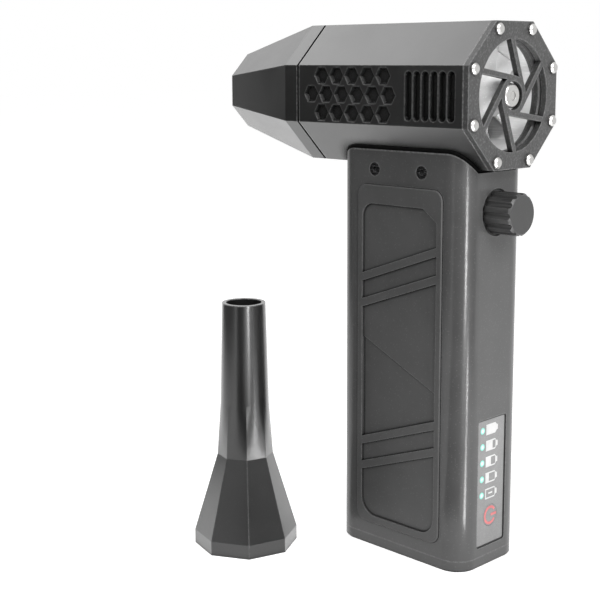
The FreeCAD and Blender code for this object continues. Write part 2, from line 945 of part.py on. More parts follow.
core_front = (motor_front + size("motorRear")) / 2 - size("coreLength") / 2


def stator_core():
    """A laminated ring with teeth that reach towards the magnet."""
    item = new_body("stator_core", axis_height)
    yoke = size("coreRadius") - size("yokeWall")
    drawing = sketch(item, "YZ_Plane", core_front)
    circle(drawing, size("coreRadius"))
    circle(drawing, yoke)
    pad(item, drawing, size("coreLength"))
    drawing = sketch(item, "YZ_Plane", core_front)
    half = size("toothWidth") / 2
    polygon(drawing, [(size("toothTip"), half), (size("toothTip"), -half),
                      (yoke + size("wallSink"), -half), (yoke + size("wallSink"), half)])
    tooth = pad(item, drawing, size("coreLength"))
    polar(item, tooth, size("toothCount"))
    return item


def stator_windings():
    """One coil round each tooth."""
    item = new_body("stator_windings", axis_height)
    overhang = size("coilOverhang")
    inner = size("toothWidth") / 2
    outer = inner + size("coilSide")
    near = size("toothTip") + size("coilTipGap")
    far = size("coreRadius") - size("yokeWall") - size("coilYokeGap")
    drawing = sketch(item, "YZ_Plane", core_front - overhang)
    polygon(drawing, [(near, outer), (near, -outer), (far, -outer), (far, outer)])
    coil = pad(item, drawing, size("coreLength") + 2 * overhang)
    polar(item, coil, size("toothCount"))
    drawing = sketch(item, "YZ_Plane", core_front)
    polygon(drawing, [(near - PAST, inner), (near - PAST, -inner),
                      (far + PAST, -inner), (far + PAST, inner)])
    slot = pocket(item, drawing, size("coreLength"), back=True)
    polar(item, slot, size("toothCount"))
    return item


def rotor_magnet():
    item = new_body("rotor_magnet", axis_height)
    drawing = sketch(item, "YZ_Plane", core_front)
    circle(drawing, size("toothTip") - size("magnetGap"))
    circle(drawing, size("shaftRadius") + size("spinnerFit"))
    pad(item, drawing, size("coreLength"))
    return item


def stator_vanes():
    """Straightening vanes between a sleeve on the motor and a ring in the duct."""
    item = new_body("stator_vanes", axis_height)
    finish = size("motorRear")
    start = finish - size("vaneLength")
    foot = size("motorRadius") + size("motorSlack")
    head = duct_bore - size("vaneRingWall")
    drawing = sketch(item, "XY_Plane", foot + size("vaneSink"))
    half = size("vaneThickness") / 2
    lean = size("vaneLength") * math.tan(math.radians(float(size("vaneAngle"))))
    bend = finish - size("vaneBend")
    polygon(drawing, [(start, -half), (bend, -half), (finish, lean - half),
                      (finish, lean + half), (bend, half), (start, half)])
    vane = pad(item, drawing, head - foot)
    polar(item, vane, size("vaneCount"))
    for outer, inner in ((size("motorRadius") + size("vaneSleeveWall"), foot),
                         (duct_bore - size("motorSlack"), head)):
        drawing = sketch(item, "YZ_Plane", start)
        circle(drawing, outer)
        circle(drawing, inner)
        pad(item, drawing, size("vaneLength"))
    return item


def tail_fairing():
    """A hollow cone that closes the air stream in behind the motor."""
    tail = motor_front - size("fairingLength")
    middle = motor_front - size("fairingLength") / 2
    belly = size("fairingMidRadius")
    wall = size("fairingWall")
    return turned_part("tail_fairing", [
        (motor_front, size("motorRadius")), (middle, belly), (tail, size("fairingTipRadius")),
        (tail, 0.0), (tail + wall, 0.0), (middle, belly - wall),
        (motor_front, size("motorRadius") - wall)])


def rounded_path(points, radius):
    """Straight runs joined by tangent arcs, for a wire that the casing holds."""
    edges = []
    here = points[0]
    for index in range(1, len(points) - 1):
        corner = points[index]
        arrive = (corner - points[index - 1]).normalize()
        leave = (points[index + 1] - corner).normalize()
        half_turn = arrive.getAngle(leave) / 2
        back = radius * math.tan(half_turn)
        first = corner - arrive * back
        last = corner + leave * back
        inward = (leave - arrive).normalize()
        centre = corner + inward * (radius / math.cos(half_turn))
        middle = centre - inward * radius
        edges.append(Part.LineSegment(here, first).toShape())
        edges.append(Part.Arc(first, middle, last).toShape())
        here = last
    edges.append(Part.LineSegment(here, points[-1]).toShape())
    return Part.Wire(edges)


def wire_tube(points, radius, bend):
    path = rounded_path(points, bend)
    start = path.Edges[0]
    direction = start.tangentAt(start.FirstParameter)
    ring = Part.Wire(Part.makeCircle(radius, points[0], direction))
    return path.makePipeShell([ring], True, False)


def motor_leads():
    """Three leads from the controller up the saddle's channel to the motor."""
    radius = float(size("leadRadius"))
    board_top = float(size("controllerBottom") + size("controllerHeight"))
    low = board_top - float(size("leadTail"))
    level = board_top + float(size("leadRise"))
    board = float(controller_y - size("leadOffBoard"))
    can = float(axis_height - size("motorRadius"))
    tubes = []
    for number in (-1, 0, 1):
        x = float(size("leadCentre") + number * size("leadPitch"))
        points = [Vector(x, board, low), Vector(x, board, level),
                  Vector(x, 0, level + board), Vector(x, 0, can)]
        tubes.append(wire_tube(points, radius, float(size("leadBend"))))
    return set_shape("motor_leads", Part.makeCompound(tubes))


# Handle: shell, cap and saddle

def handle_shell():
    item = new_body("handle_shell")
    height = handle_top - size("capHeight")
    drawing = sketch(item, "XY_Plane", size("capHeight"))
    rounded_rectangle(drawing, handle_x, handle_y, size("handleCorner"))
    pad(item, drawing, height)
    drawing = sketch(item, "XY_Plane", size("capHeight"))
    rounded_rectangle(drawing, cavity_x, cavity_y, cavity_corner)
    pocket(item, drawing, height, back=True)
    # the saddle that the barrel's lower facets lie in
    drawing = sketch(item, "YZ_Plane", handle_x + PAST)
    octagon(drawing, saddle_half, up=axis_height)
    pocket(item, drawing, size("handleDepth") + 2 * PAST)
    shell_side_cuts(item)
    shell_rear_cuts(item)
    shell_posts(item)
    return item


def shell_side_cuts(item):
    """Panel seats and counterbored screw holes in both side walls."""
    for side in (-1, 1):
        face = -side * handle_y
        drawing = sketch(item, "XZ_Plane", face)
        fit = size("slipFit")
        rounded_rectangle(drawing, size("panelWidth") / 2 + fit, size("panelHeight") / 2 + fit,
                          size("panelCorner") + fit, across=size("panelShift"), up=panel_middle)
        pocket(item, drawing, size("panelSeat"), back=side > 0)
        for end in (-1, 1):
            place = size("sideScrewCentre") + end * (size("sideScrewSpacing") / 2)
            for radius, depth in ((size("sideBore"), size("sideBoreDepth")),
                                  (size("sideShankRadius") + size("screwSlack"),
                                   size("handleWall"))):
                drawing = sketch(item, "XZ_Plane", face)
                circle(drawing, radius, place, side_screw_height)
                pocket(item, drawing, depth, back=side > 0)


def shell_rear_cuts(item):
    """Label seat with its window, and the knob's seat with its bushing hole."""
    drawing = sketch(item, "YZ_Plane", handle_x)
    rounded_rectangle(drawing, size("labelWidth") / 2, size("labelHeight") / 2,
                      size("labelCorner"), up=label_middle)
    pocket(item, drawing, size("labelSeat"))
    drawing = sketch(item, "YZ_Plane", handle_x)
    ledge = size("labelLedge")
    rounded_rectangle(drawing, size("labelWidth") / 2 - ledge, size("labelHeight") / 2 - ledge,
                      size("labelCorner"), up=label_middle)
    pocket(item, drawing, size("handleWall"))
    for radius, depth in ((size("knobSeatRadius"), size("knobSeatDepth")),
                          (size("bushingRadius") + size("screwSlack"), size("handleWall"))):
        drawing = sketch(item, "YZ_Plane", handle_x)
        circle(drawing, radius, 0.0, knob_height)
        pocket(item, drawing, depth)


def shell_posts(item):
    """Screw posts in the corners, and standoffs for the two upright boards."""
    low = size("capHeight") + size("lipHeight")
    height = size("cellBottom") - low
    for side_x, side_y in corner_signs():
        place_x = side_x * size("cornerPostX")
        place_y = side_y * size("cornerPostY")
        drawing = sketch(item, "XY_Plane", low)
        circle(drawing, size("cornerPostRadius"), place_x, place_y)
        pad(item, drawing, height)
        drawing = sketch(item, "XY_Plane", low)
        circle(drawing, size("baseShankRadius"), place_x, place_y)
        pocket(item, drawing, height - PAST, back=True)
    across = size("gaugeBoardWidth") / 2 - size("standoffInset")
    reach = size("gaugeBoardHeight") / 2 - size("standoffInset")
    for side_y, side_z in corner_signs():
        drawing = sketch(item, "YZ_Plane", board_face)
        circle(drawing, size("standoffRadius"), side_y * across, gauge_middle + side_z * reach)
        pad(item, drawing, size("standoffHeight") + size("wallSink"))
    across = size("controllerLength") / 2 - size("controllerPostInset")
    reach = size("controllerHeight") / 2 - size("controllerPostInset")
    for side_x, side_z in corner_signs():
        drawing = sketch(item, "XZ_Plane", -(controller_y + size("boardThickness")))
        circle(drawing, size("standoffRadius"), size("controllerShift") + side_x * across,
               controller_middle + side_z * reach)
        pad(item, drawing, size("controllerStandoff") + size("wallSink"), back=True)


def base_cap():
    item = new_body("base_cap")
    drawing = sketch(item, "XY_Plane")
    rounded_rectangle(drawing, handle_x, handle_y, size("handleCorner"))
    pad(item, drawing, size("capHeight"))
    bevel(item, size("capBevel"), all_at("Z", 0.0))
    fit = size("slipFit")
    drawing = sketch(item, "XY_Plane", size("capHeight"))
    rounded_rectangle(drawing, cavity_x - fit, cavity_y - fit, cavity_corner - fit)
    wall = size("lipWall") + fit
    rounded_rectangle(drawing, cavity_x - wall, cavity_y - wall, cavity_corner - wall)
    pad(item, drawing, size("lipHeight"))
    drawing = sketch(item, "XY_Plane")
    rounded_rectangle(drawing, size("portWidth") / 2, size("portHeight") / 2,
                      size("portCorner"), across=size("portShift"))
    pocket(item, drawing, size("capHeight"), back=True)
    for side_x, side_y in corner_signs():
        for radius, depth in ((size("baseHeadRadius") + size("screwSlack"),
                               size("baseHeadSink") + size("baseHeadHeight")),
                              (size("baseShankRadius"), size("capHeight") + size("lipHeight"))):
            drawing = sketch(item, "XY_Plane")
            circle(drawing, radius, side_x * size("cornerPostX"), side_y * size("cornerPostY"))
            pocket(item, drawing, depth, back=True)
    return item


def base_screws():
    item = new_body("base_screws")
    for side_x, side_y in corner_signs():
        for radius, length in ((size("baseHeadRadius"), size("baseHeadHeight")),
                               (size("baseShankRadius"),
                                size("baseHeadHeight") + size("baseShankLength"))):
            drawing = sketch(item, "XY_Plane", size("baseHeadSink"))
            circle(drawing, radius, side_x * size("cornerPostX"), side_y * size("cornerPostY"))
            pad(item, drawing, length)
    return item


def saddle_gasket():
    """A strip between the handle's top edge and the barrel's lower facets."""
    item = new_body("saddle_gasket")
    inset = size("gasketInset")
    level = axis_height - saddle_half
    low = level - PAST
    drawing = sketch(item, "XY_Plane", low)
    rounded_rectangle(drawing, handle_x - inset, handle_y - inset, size("handleCorner") - inset)
    rounded_rectangle(drawing, cavity_x, cavity_y, cavity_corner)
    pad(item, drawing, axis_height - low)
    drawing = sketch(item, "YZ_Plane", handle_x + PAST)
    octagon(drawing, barrel_half, up=axis_height)
    pocket(item, drawing, size("handleDepth") + 2 * PAST)
    # what lies below the strip belongs to the shell
    drawing = sketch(item, "YZ_Plane", handle_x + PAST)
    near = saddle_half * TAN_OCTANT
    far = handle_y + PAST
    slope = level + (far - near)
    polygon(drawing, [(-far, low - PAST), (far, low - PAST), (far, slope), (near, level),
                      (-near, level), (-far, slope)])
    pocket(item, drawing, size("handleDepth") + 2 * PAST)
    return item


def mounting_saddle():
    """Block under the barrel that the handle's side screws grip."""
    item = new_body("mounting_saddle")
    centre = size("sideScrewCentre")
    half_x = size("saddleLength") / 2
    half_y = cavity_y - size("slipFit")
    top = axis_height - barrel_half
    bottom = top - size("saddleDepth")
    drawing = sketch(item, "XY_Plane", bottom)
    rounded_rectangle(drawing, half_x, half_y, size("saddleCorner"), across=centre)
    pad(item, drawing, size("saddleDepth") + half_y)
    drawing = sketch(item, "YZ_Plane", centre + half_x + PAST)
    octagon(drawing, barrel_half, up=axis_height)
    pocket(item, drawing, size("saddleLength") + 2 * PAST)
    lead_channel(item, bottom, size("saddleDepth"))
    for side in (-1, 1):
        for end in (-1, 1):
            drawing = sketch(item, "XZ_Plane", -side * half_y)
            circle(drawing, size("sideShankRadius"),
                   centre + end * (size("sideScrewSpacing") / 2), side_screw_height)
            pocket(item, drawing, size("sideShankLength"), back=side > 0)
            drawing = sketch(item, "XY_Plane", bottom)
            circle(drawing, size("saddleShankRadius"), centre + end * size("saddleScrewX"),
                   side * size("saddleScrewY"))
            pocket(item, drawing, size("saddleDepth"), back=True)
    return item


def saddle_screws():
    item = new_body("saddle_screws")
    bottom = axis_height - barrel_half - size("saddleDepth")
    for side in (-1, 1):
        for end in (-1, 1):
            place_x = size("sideScrewCentre") + end * size("saddleScrewX")
            place_y = side * size("saddleScrewY")
            drawing = sketch(item, "XY_Plane", bottom)
            circle(drawing, size("saddleHeadRadius"), place_x, place_y)
            pad(item, drawing, size("saddleHeadHeight"), back=True)
            drawing = sketch(item, "XY_Plane", bottom)
            circle(drawing, size("saddleShankRadius"), place_x, place_y)
            pad(item, drawing, size("saddleDepth") + size("saddleBite"))
    return item


def handle_screws():
    """Socket-head screws through the side walls into the saddle, two on each side."""
    item = new_body("handle_screws")
    floor = handle_y - size("sideBoreDepth")
    for side in (-1, 1):
        for end in (-1, 1):
            place = size("sideScrewCentre") + end * (size("sideScrewSpacing") / 2)
            drawing = sketch(item, "XZ_Plane", -side * floor)
            circle(drawing, size("sideHeadRadius"), place, side_screw_height)
            pad(item, drawing, size("sideHeadHeight"), back=side > 0)
            drawing = sketch(item, "XZ_Plane", -side * floor)
            circle(drawing, size("sideShankRadius"), place, side_screw_height)
            pad(item, drawing, size("sideShankLength"), back=side < 0)
            drawing = sketch(item, "XZ_Plane", -side * (floor + size("sideHeadHeight")))
            hexagon(drawing, size("socketWidth") / ROOT_THREE, place, side_screw_height)
            pocket(item, drawing, size("socketDepth"), back=side > 0)
    return item


# Handle: side panels

def slanted(across, level, degrees):
    """Height of a slanted line at a distance from the panel's middle."""
    return level + (across - size("panelShift")) * math.tan(math.radians(float(degrees)))


def side_panel(name, side):
    """A raised plate with a frame, slanted ribs and sunk fields between them."""
    item = new_body(name)
    seat = -side * (handle_y - size("panelSeat"))
    face = -side * (handle_y - size("panelSeat") + size("panelThickness"))
    middle_x = size("panelShift")
    drawing = sketch(item, "XZ_Plane", seat)
    rounded_rectangle(drawing, size("panelWidth") / 2, size("panelHeight") / 2,
                      size("panelCorner"), across=middle_x, up=panel_middle)
    pad(item, drawing, size("panelThickness"), back=side > 0)
    bevel(item, size("panelBevel"), all_at("Y", -face))
    half = size("panelWidth") / 2 - size("panelBorder")
    left = middle_x - half
    right = middle_x + half
    top = size("panelBottom") + size("panelHeight") - size("panelTopBorder")
    bottom = size("panelBottom") + size("panelBottomBorder")
    band = size("ribWidth") + size("stripHeight") / 2
    upper = panel_middle + size("ribBandHeight")
    lower = panel_middle - size("ribBandHeight")
    lean = size("ribSlope")

    def field(corners, depth, from_face=0.0):
        drawing = sketch(item, "XZ_Plane", face + side * from_face)
        polygon(drawing, corners)
        pocket(item, drawing, depth, back=side > 0)

    def level(across, height):
        return (across, slanted(across, height, lean))

    depth = size("pocketDepth")
    field([level(left, upper + band), level(right, upper + band),
           (right, top - size("upperPocketFall")), (right - size("upperPocketChamfer"), top),
           (left, top)], depth)
    field([level(left, lower + band), level(right, lower + band), level(right, upper - band),
           level(left, upper - band)], depth)
    for height in (upper, lower):
        strip = size("stripHeight") / 2
        field([level(left, height - strip), level(right, height - strip),
               level(right, height + strip), level(left, height + strip)], depth)
    field([(left, bottom), (right, bottom), level(right, lower - band),
           level(left, lower - band)], depth)
    # the middle field drops one step further below a diagonal line
    fall = -size("stepSlope")
    step = panel_middle - size("stepDrop")
    field([level(left, lower + band), level(right, lower + band),
           (right, slanted(right, step, fall)), (left, slanted(left, step, fall))],
          size("stepDepth"), depth)

    def corner_edge(across, up):
        def test(edge):
            spots = edge_ends(edge)
            return len(spots) == 2 and all(
                abs(spot.x - float(across)) < 1e-3 and abs(spot.z - float(up)) < 1e-3
                for spot in spots)
        return test

    round_edges(item, size("upperPocketCorner"), corner_edge(left, top))
    for across in (left, right):
        round_edges(item, size("lowerPocketCorner"), corner_edge(across, bottom))
    return item


# Handle: gauge, key and knob

def label_plate():
    item = new_body("label_plate")
    drawing = sketch(item, "YZ_Plane", label_floor)
    fit = size("slipFit") / 2
    rounded_rectangle(drawing, size("labelWidth") / 2 - fit, size("labelHeight") / 2 - fit,
                      size("labelCorner") - fit, up=label_middle)
    pad(item, drawing, size("labelThickness"))
    drawing = sketch(item, "YZ_Plane", label_face)
    circle(drawing, size("keyRadius") + size("keyGap"), 0.0, size("keyHeight"))
    pocket(item, drawing, size("labelThickness"))
    drawing = sketch(item, "YZ_Plane", label_face)
    circle(drawing, size("lampRadius") + size("lampFit"), size("lampColumn"), size("lampTop"))
    hole = pocket(item, drawing, size("labelThickness"))
    row(item, hole, drawing, size("lampPitch"), LAMP_COUNT, "V_Axis", back=True)
    return item


def gauge_lamps():
    """Five lamps on the gauge board, flush with the label."""
    item = new_body("gauge_lamps")
    drawing = sketch(item, "YZ_Plane", board_face)
    circle(drawing, size("lampRadius"), size("lampColumn"), size("lampTop"))
    lamp = pad(item, drawing, label_face - board_face)
    row(item, lamp, drawing, size("lampPitch"), LAMP_COUNT, "V_Axis", back=True)
    return item


def gauge_board():
    item = new_body("gauge_board")
    drawing = sketch(item, "YZ_Plane", board_face - size("boardThickness"))
    rounded_rectangle(drawing, size("gaugeBoardWidth") / 2, size("gaugeBoardHeight") / 2,
                      size("boardCorner"), up=gauge_middle)
    pad(item, drawing, size("boardThickness"))
    return item


def power_switch():
    """The tactile switch on the gauge board that the power key presses."""
    item = new_body("power_switch")
    half = size("switchSize") / 2
    drawing = sketch(item, "YZ_Plane", board_face)
    rounded_rectangle(drawing, half, half, size("switchCorner"), up=size("keyHeight"))
    pad(item, drawing, size("switchHeight"))
    return item


def power_key():
    item = new_body("power_key")
    stem_end = board_face + size("switchHeight") + size("keyTravel") + size("keyStemGap")
    drawing = sketch(item, "YZ_Plane", label_floor + size("keyTravel"))
    circle(drawing, size("keyRadius"), 0.0, size("keyHeight"))
    pad(item, drawing, size("labelThickness") - size("keyTravel"))
    drawing = sketch(item, "YZ_Plane", stem_end)
    circle(drawing, size("keyStemRadius"), 0.0, size("keyHeight"))
    pad(item, drawing, label_floor + size("keyTravel") + size("wallSink") - stem_end)
    return item


def speed_knob():
    """A fluted knob, hollow underneath to clear the bushing's nut."""
    item = new_body("speed_knob", knob_height)
    length = knob_end - knob_back
    drawing = sketch(item, "YZ_Plane", knob_back)
    circle(drawing, size("knobRadius"))
    pad(item, drawing, length)
    bevel(item, size("knobBevel"), all_at("X", knob_end))
    drawing = sketch(item, "YZ_Plane", knob_end + PAST)
    circle(drawing, size("fluteRadius"), 0.0,
           size("knobRadius") + size("fluteRadius") - size("fluteDepth"))
    flute = pocket(item, drawing, length + 2 * PAST)
    polar(item, flute, size("fluteCount"))
    drawing = sketch(item, "YZ_Plane", knob_back)
    circle(drawing, size("knobHollowRadius"))
    pocket(item, drawing, size("knobHollowDepth"), back=True)
    drawing = sketch(item, "YZ_Plane", knob_back)
    circle(drawing, size("knobShaftRadius"))
    pocket(item, drawing, size("knobHollowDepth") + size("knobShaftBite"), back=True)
    return item


def knob_shaft():
    item = new_body("knob_shaft", knob_height)
    start = cavity_x - size("sensorLength") + size("sensorFloor") + size("shaftEndGap")
    finish = knob_back + size("knobHollowDepth") + size("knobShaftBite")
    drawing = sketch(item, "YZ_Plane", start)
    circle(drawing, size("knobShaftRadius"))
    pad(item, drawing, finish - start)
    return item


def speed_sensor():
    """The turning control behind the wall, with its threaded bushing through it."""
    item = new_body("speed_sensor", knob_height)
    start = cavity_x - size("sensorLength")
    drawing = sketch(item, "YZ_Plane", start)
    circle(drawing, size("sensorRadius"))
    pad(item, drawing, size("sensorLength"))
    drawing = sketch(item, "YZ_Plane", cavity_x)
    circle(drawing, size("bushingRadius"))
    pad(item, drawing, size("handleWall") + size("bushingReach"))
    drawing = sketch(item, "YZ_Plane", start + size("sensorFloor"))
    circle(drawing, size("knobShaftRadius") + size("runningGap"))
    pocket(item, drawing, size("sensorLength") + size("handleWall") + size("bushingReach"),
           back=True)
    return item


def bushing_nut():
    item = new_body("bushing_nut", knob_height)
    drawing = sketch(item, "YZ_Plane", knob_seat)
    hexagon(drawing, size("nutFlats") / ROOT_THREE)
    circle(drawing, size("bushingRadius"))
    pad(item, drawing, size("nutThickness"))
    return item


# Handle: battery and electronics

def cell_places():
    places = []
    for column in (-1, 0, 1):
        for side in (-1, 1):
            places.append((size("cellCentre") + column * size("cellPitchX"),
                           side * (size("cellPitchY") / 2)))
    return places


def battery_cells():
    item = new_body("battery_cells")
    for place_x, place_y in cell_places():
        drawing = sketch(item, "XY_Plane", size("cellBottom"))
        circle(drawing, size("cellRadius"), place_x, place_y)
        pad(item, drawing, size("cellLength"))
    return item


def cell_holder(name, start, posts):
    item = new_body(name)
    slack = size("holderSlack")
    low_x = slack - cavity_x
    half_x = (size("holderRear") - low_x) / 2
    drawing = sketch(item, "XY_Plane", start)
    rounded_rectangle(drawing, half_x, cavity_y - slack, cavity_corner - slack,
                      across=(size("holderRear") + low_x) / 2)
    pad(item, drawing, size("holderHeight"))
    for place_x, place_y in cell_places():
        drawing = sketch(item, "XY_Plane", start)
        circle(drawing, size("cellRadius") + size("holderGap"), place_x, place_y)
        pocket(item, drawing, size("holderHeight"), back=True)
    if posts:
        for side_x in (-1, 1):
            drawing = sketch(item, "XY_Plane", start + size("holderHeight") - PAST)
            circle(drawing, size("holderPostRadius"),
                   size("cellCentre") + side_x * size("holderPostReach"), 0.0)
            pad(item, drawing, size("holderPostHeight") + PAST)
    return item


def cell_links():
    """Welded strips that join the cells in pairs at both ends."""
    item = new_body("cell_links")
    for start in (size("cellBottom") - size("linkThickness"), cell_top):
        for column in (-1, 0, 1):
            drawing = sketch(item, "XY_Plane", start)
            rounded_rectangle(drawing, size("linkWidth") / 2, size("linkLength") / 2,
                              size("linkCorner"),
                              across=size("cellCentre") + column * size("cellPitchX"))
            pad(item, drawing, size("linkThickness"))
    return item


def battery_board():
    item = new_body("battery_board")
    centre = size("cellCentre")
    drawing = sketch(item, "XY_Plane", battery_board_bottom)
    rounded_rectangle(drawing, size("batteryBoardLength") / 2, size("batteryBoardWidth") / 2,
                      size("boardCorner"), across=centre)
    pad(item, drawing, size("boardThickness"))
    for column in (-1, 0, 1):
        drawing = sketch(item, "XY_Plane", battery_board_bottom + size("boardThickness"))
        chip(drawing, centre + column * size("chipPitch"), -size("chipPitch"))
        pad(item, drawing, size("chipHeight"))
    return item


def chip(drawing, across, up):
    half_x = size("chipWidth") / 2
    half_y = size("chipLength") / 2
    polygon(drawing, [(across - half_x, up - half_y), (across + half_x, up - half_y),
                      (across + half_x, up + half_y), (across - half_x, up + half_y)])


def controller_board():
    """The motor controller, upright beside the wall, with its transistors and capacitors."""
    item = new_body("controller_board")
    centre = size("controllerShift")
    drawing = sketch(item, "XZ_Plane", -controller_y)
    rounded_rectangle(drawing, size("controllerLength") / 2, size("controllerHeight") / 2,
                      size("boardCorner"), across=centre, up=controller_middle)
    pad(item, drawing, size("boardThickness"), back=True)
    for column in (-1, 0, 1):
        for level in (-1, 1):
            drawing = sketch(item, "XZ_Plane", -controller_y)
            rise = size("chipRise") + level * size("chipRowPitch") / 2
            chip(drawing, centre + column * size("chipPitch"), controller_middle + rise)
            pad(item, drawing, size("chipHeight"))
    for side in (-1, 1):
        drawing = sketch(item, "XZ_Plane", -controller_y)
        circle(drawing, size("capacitorRadius"), centre + side * size("capacitorSpacing") / 2,
               controller_middle - size("capacitorDrop"))
        pad(item, drawing, size("capacitorHeight"))
    return item


def battery_leads():
    """Two leads from the battery's board up to the controller."""
    low = float(battery_board_bottom + size("boardThickness"))
    knee = low + float(size("leadTail"))
    step = float(size("supplyLeadStep"))
    high = float(size("controllerBottom") + size("leadRise"))
    board = float(controller_y - size("leadOffBoard"))
    radius = float(size("leadRadius"))
    tubes = []
    for side in (-1, 1):
        x = float(size("cellCentre") + side * size("supplyLeadReach"))
        points = [Vector(x, board - step, low), Vector(x, board - step, knee),
                  Vector(x, board, knee + step), Vector(x, board, high)]
        tubes.append(wire_tube(points, radius, float(size("supplyLeadBend"))))
    return set_shape("battery_leads", Part.makeCompound(tubes))


def charge_socket():
    """Charging socket in the base cap: a metal shell with a tongue."""
    item = new_body("charge_socket")
    half_x = size("portWidth") / 2
    half_y = size("portHeight") / 2
    corner = size("portCorner")
    wall = size("portWall")
    shift = size("portShift")
    drawing = sketch(item, "XY_Plane", size("portRecess"))
    rounded_rectangle(drawing, half_x, half_y, corner, across=shift)
    rounded_rectangle(drawing, half_x - wall, half_y - wall, corner - wall, across=shift)
    pad(item, drawing, size("portLength"))
    top = size("portRecess") + size("portLength")
    drawing = sketch(item, "XY_Plane", top)
    rounded_rectangle(drawing, half_x, half_y, corner, across=shift)
    pad(item, drawing, size("portBack"))
    drawing = sketch(item, "XY_Plane", top)
    tongue_x = size("tongueWidth") / 2
    tongue_y = size("tongueThickness") / 2
    polygon(drawing, [(shift - tongue_x, -tongue_y), (shift + tongue_x, -tongue_y),
                      (shift + tongue_x, tongue_y), (shift - tongue_x, tongue_y)])
    pad(item, drawing, size("tongueLength"), back=True)
    return item


def charge_board():
    item = new_body("charge_board")
    bottom = size("portRecess") + size("portLength") + size("portBack")
    drawing = sketch(item, "XY_Plane", bottom)
    rounded_rectangle(drawing, size("chargeBoardLength") / 2, size("chargeBoardWidth") / 2,
                      size("boardCorner"), across=size("portShift"))
    pad(item, drawing, size("boardThickness"))
    return item


# Spare nozzle

def octagon_wire(flats, height):
    radius = flats / 2 / math.cos(HALF_OCTANT)
    spots = []
    for corner in range(OCTAGON_SIDES + 1):
        turn = 2 * math.pi * corner / OCTAGON_SIDES
        spots.append(Vector(radius * math.cos(turn), radius * math.sin(turn), height))
    return Part.makePolygon(spots)


def round_wire(radius, height):
    """A circle in eight arcs, so that each joins one side of an octagon."""
    arcs = []
    for corner in range(OCTAGON_SIDES):
        spots = []
        for step in (0.0, 0.5, 1.0):
            turn = 2 * math.pi * (corner + step) / OCTAGON_SIDES
            spots.append(Vector(radius * math.cos(turn), radius * math.sin(turn), height))
        arcs.append(Part.Arc(*spots).toShape())
    return Part.Wire(arcs)


def nozzle_form(shrink, low, high):
    """The nozzle's solid form, drawn in by a wall for its inside."""
    flats = float(size("nozzleFlats")) - 2 * shrink
    neck = float(size("nozzleNeckFlats")) - 2 * shrink
    tube = float(size("nozzleTubeRadius")) - shrink
    top = float(size("nozzleTopRadius")) - shrink
    collar = float(size("nozzleCollar"))
    neck_height = float(size("nozzleNeckHeight"))
    tube_start = float(size("nozzleTubeStart"))
    finish = float(size("nozzleHeight"))
    parts = [Part.makeLoft([octagon_wire(flats, low), octagon_wire(flats, collar)], True, True),
             Part.makeLoft([octagon_wire(flats, collar), octagon_wire(neck, neck_height)],
                           True, True),
             Part.makeLoft([octagon_wire(neck, neck_height), round_wire(tube, tube_start)],
                           True, True)]
    slope = (top - tube) / (finish - tube_start)
    cone_top = top + slope * (high - finish)
    parts.append(Part.makeCone(tube, cone_top, high - tube_start, Vector(0, 0, tube_start)))
    form = parts[0]
    for part in parts[1:]:
        form = form.fuse(part)
    return form.removeSplitter()


def spare_nozzle():
    """A long nozzle that stands beside the blower and slips over the cone's tip."""
    outside = nozzle_form(0.0, 0.0, float(size("nozzleHeight")))
    inside = nozzle_form(float(size("nozzleWall")), -PAST, float(size("nozzleHeight")) + PAST)
    place = Vector(float(size("nozzleX")), float(size("nozzleY")), 0)
    return set_shape("spare_nozzle", outside.cut(inside), place, float(size("nozzleTurn")))


def make_parts():
    parts = [barrel_housing(), seam_ring(), front_cone(), rear_guard(), guard_screws()]
    parts += [inlet_ring(), duct_tube(), impeller(), spinner_nut(), motor_shaft()]
    parts += [motor_can(), motor_end_cap(), shaft_bearings(), stator_core(), stator_windings()]
    parts += [rotor_magnet(), stator_vanes(), tail_fairing(), motor_leads()]
    parts += [handle_shell(), base_cap(), base_screws(), saddle_gasket(), mounting_saddle()]
    parts += [saddle_screws(), handle_screws()]
    parts += [side_panel("left_grip_panel", -1), side_panel("right_grip_panel", 1)]
    parts += [label_plate(), gauge_lamps(), gauge_board(), power_switch(), power_key()]
    parts += [speed_knob(), knob_shaft(), speed_sensor(), bushing_nut()]
    parts += [battery_cells(), cell_links(), battery_board(), controller_board()]
    parts += [cell_holder("lower_cell_holder", size("cellBottom"), False)]
    parts += [cell_holder("upper_cell_holder", cell_top - size("holderHeight"), True)]
    parts += [battery_leads(), charge_socket(), charge_board(), spare_nozzle()]
    return parts


def check_and_write(parts):
    doc.recompute()
    faults = [item.Label for item in doc.Objects
              if "Invalid" in item.State or "Error" in item.State]
    for part in parts:
        if part.Shape.isNull() or not part.Shape.isValid() or not part.Shape.Solids:
            faults.append(part.Label + " shape")
    if faults:
        raise RuntimeError("failed: " + ", ".join(faults))
    os.makedirs("parts", exist_ok=True)
    for part in parts:
        part.Shape.exportStep(os.path.join("parts", part.Label + ".step"))
        print(part.Label, len(part.Shape.Solids), "solids, volume", round(part.Shape.Volume, 1))


check_and_write(make_parts())
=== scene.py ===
import math

import bpy
from mathutils import Matrix, Quaternion, Vector


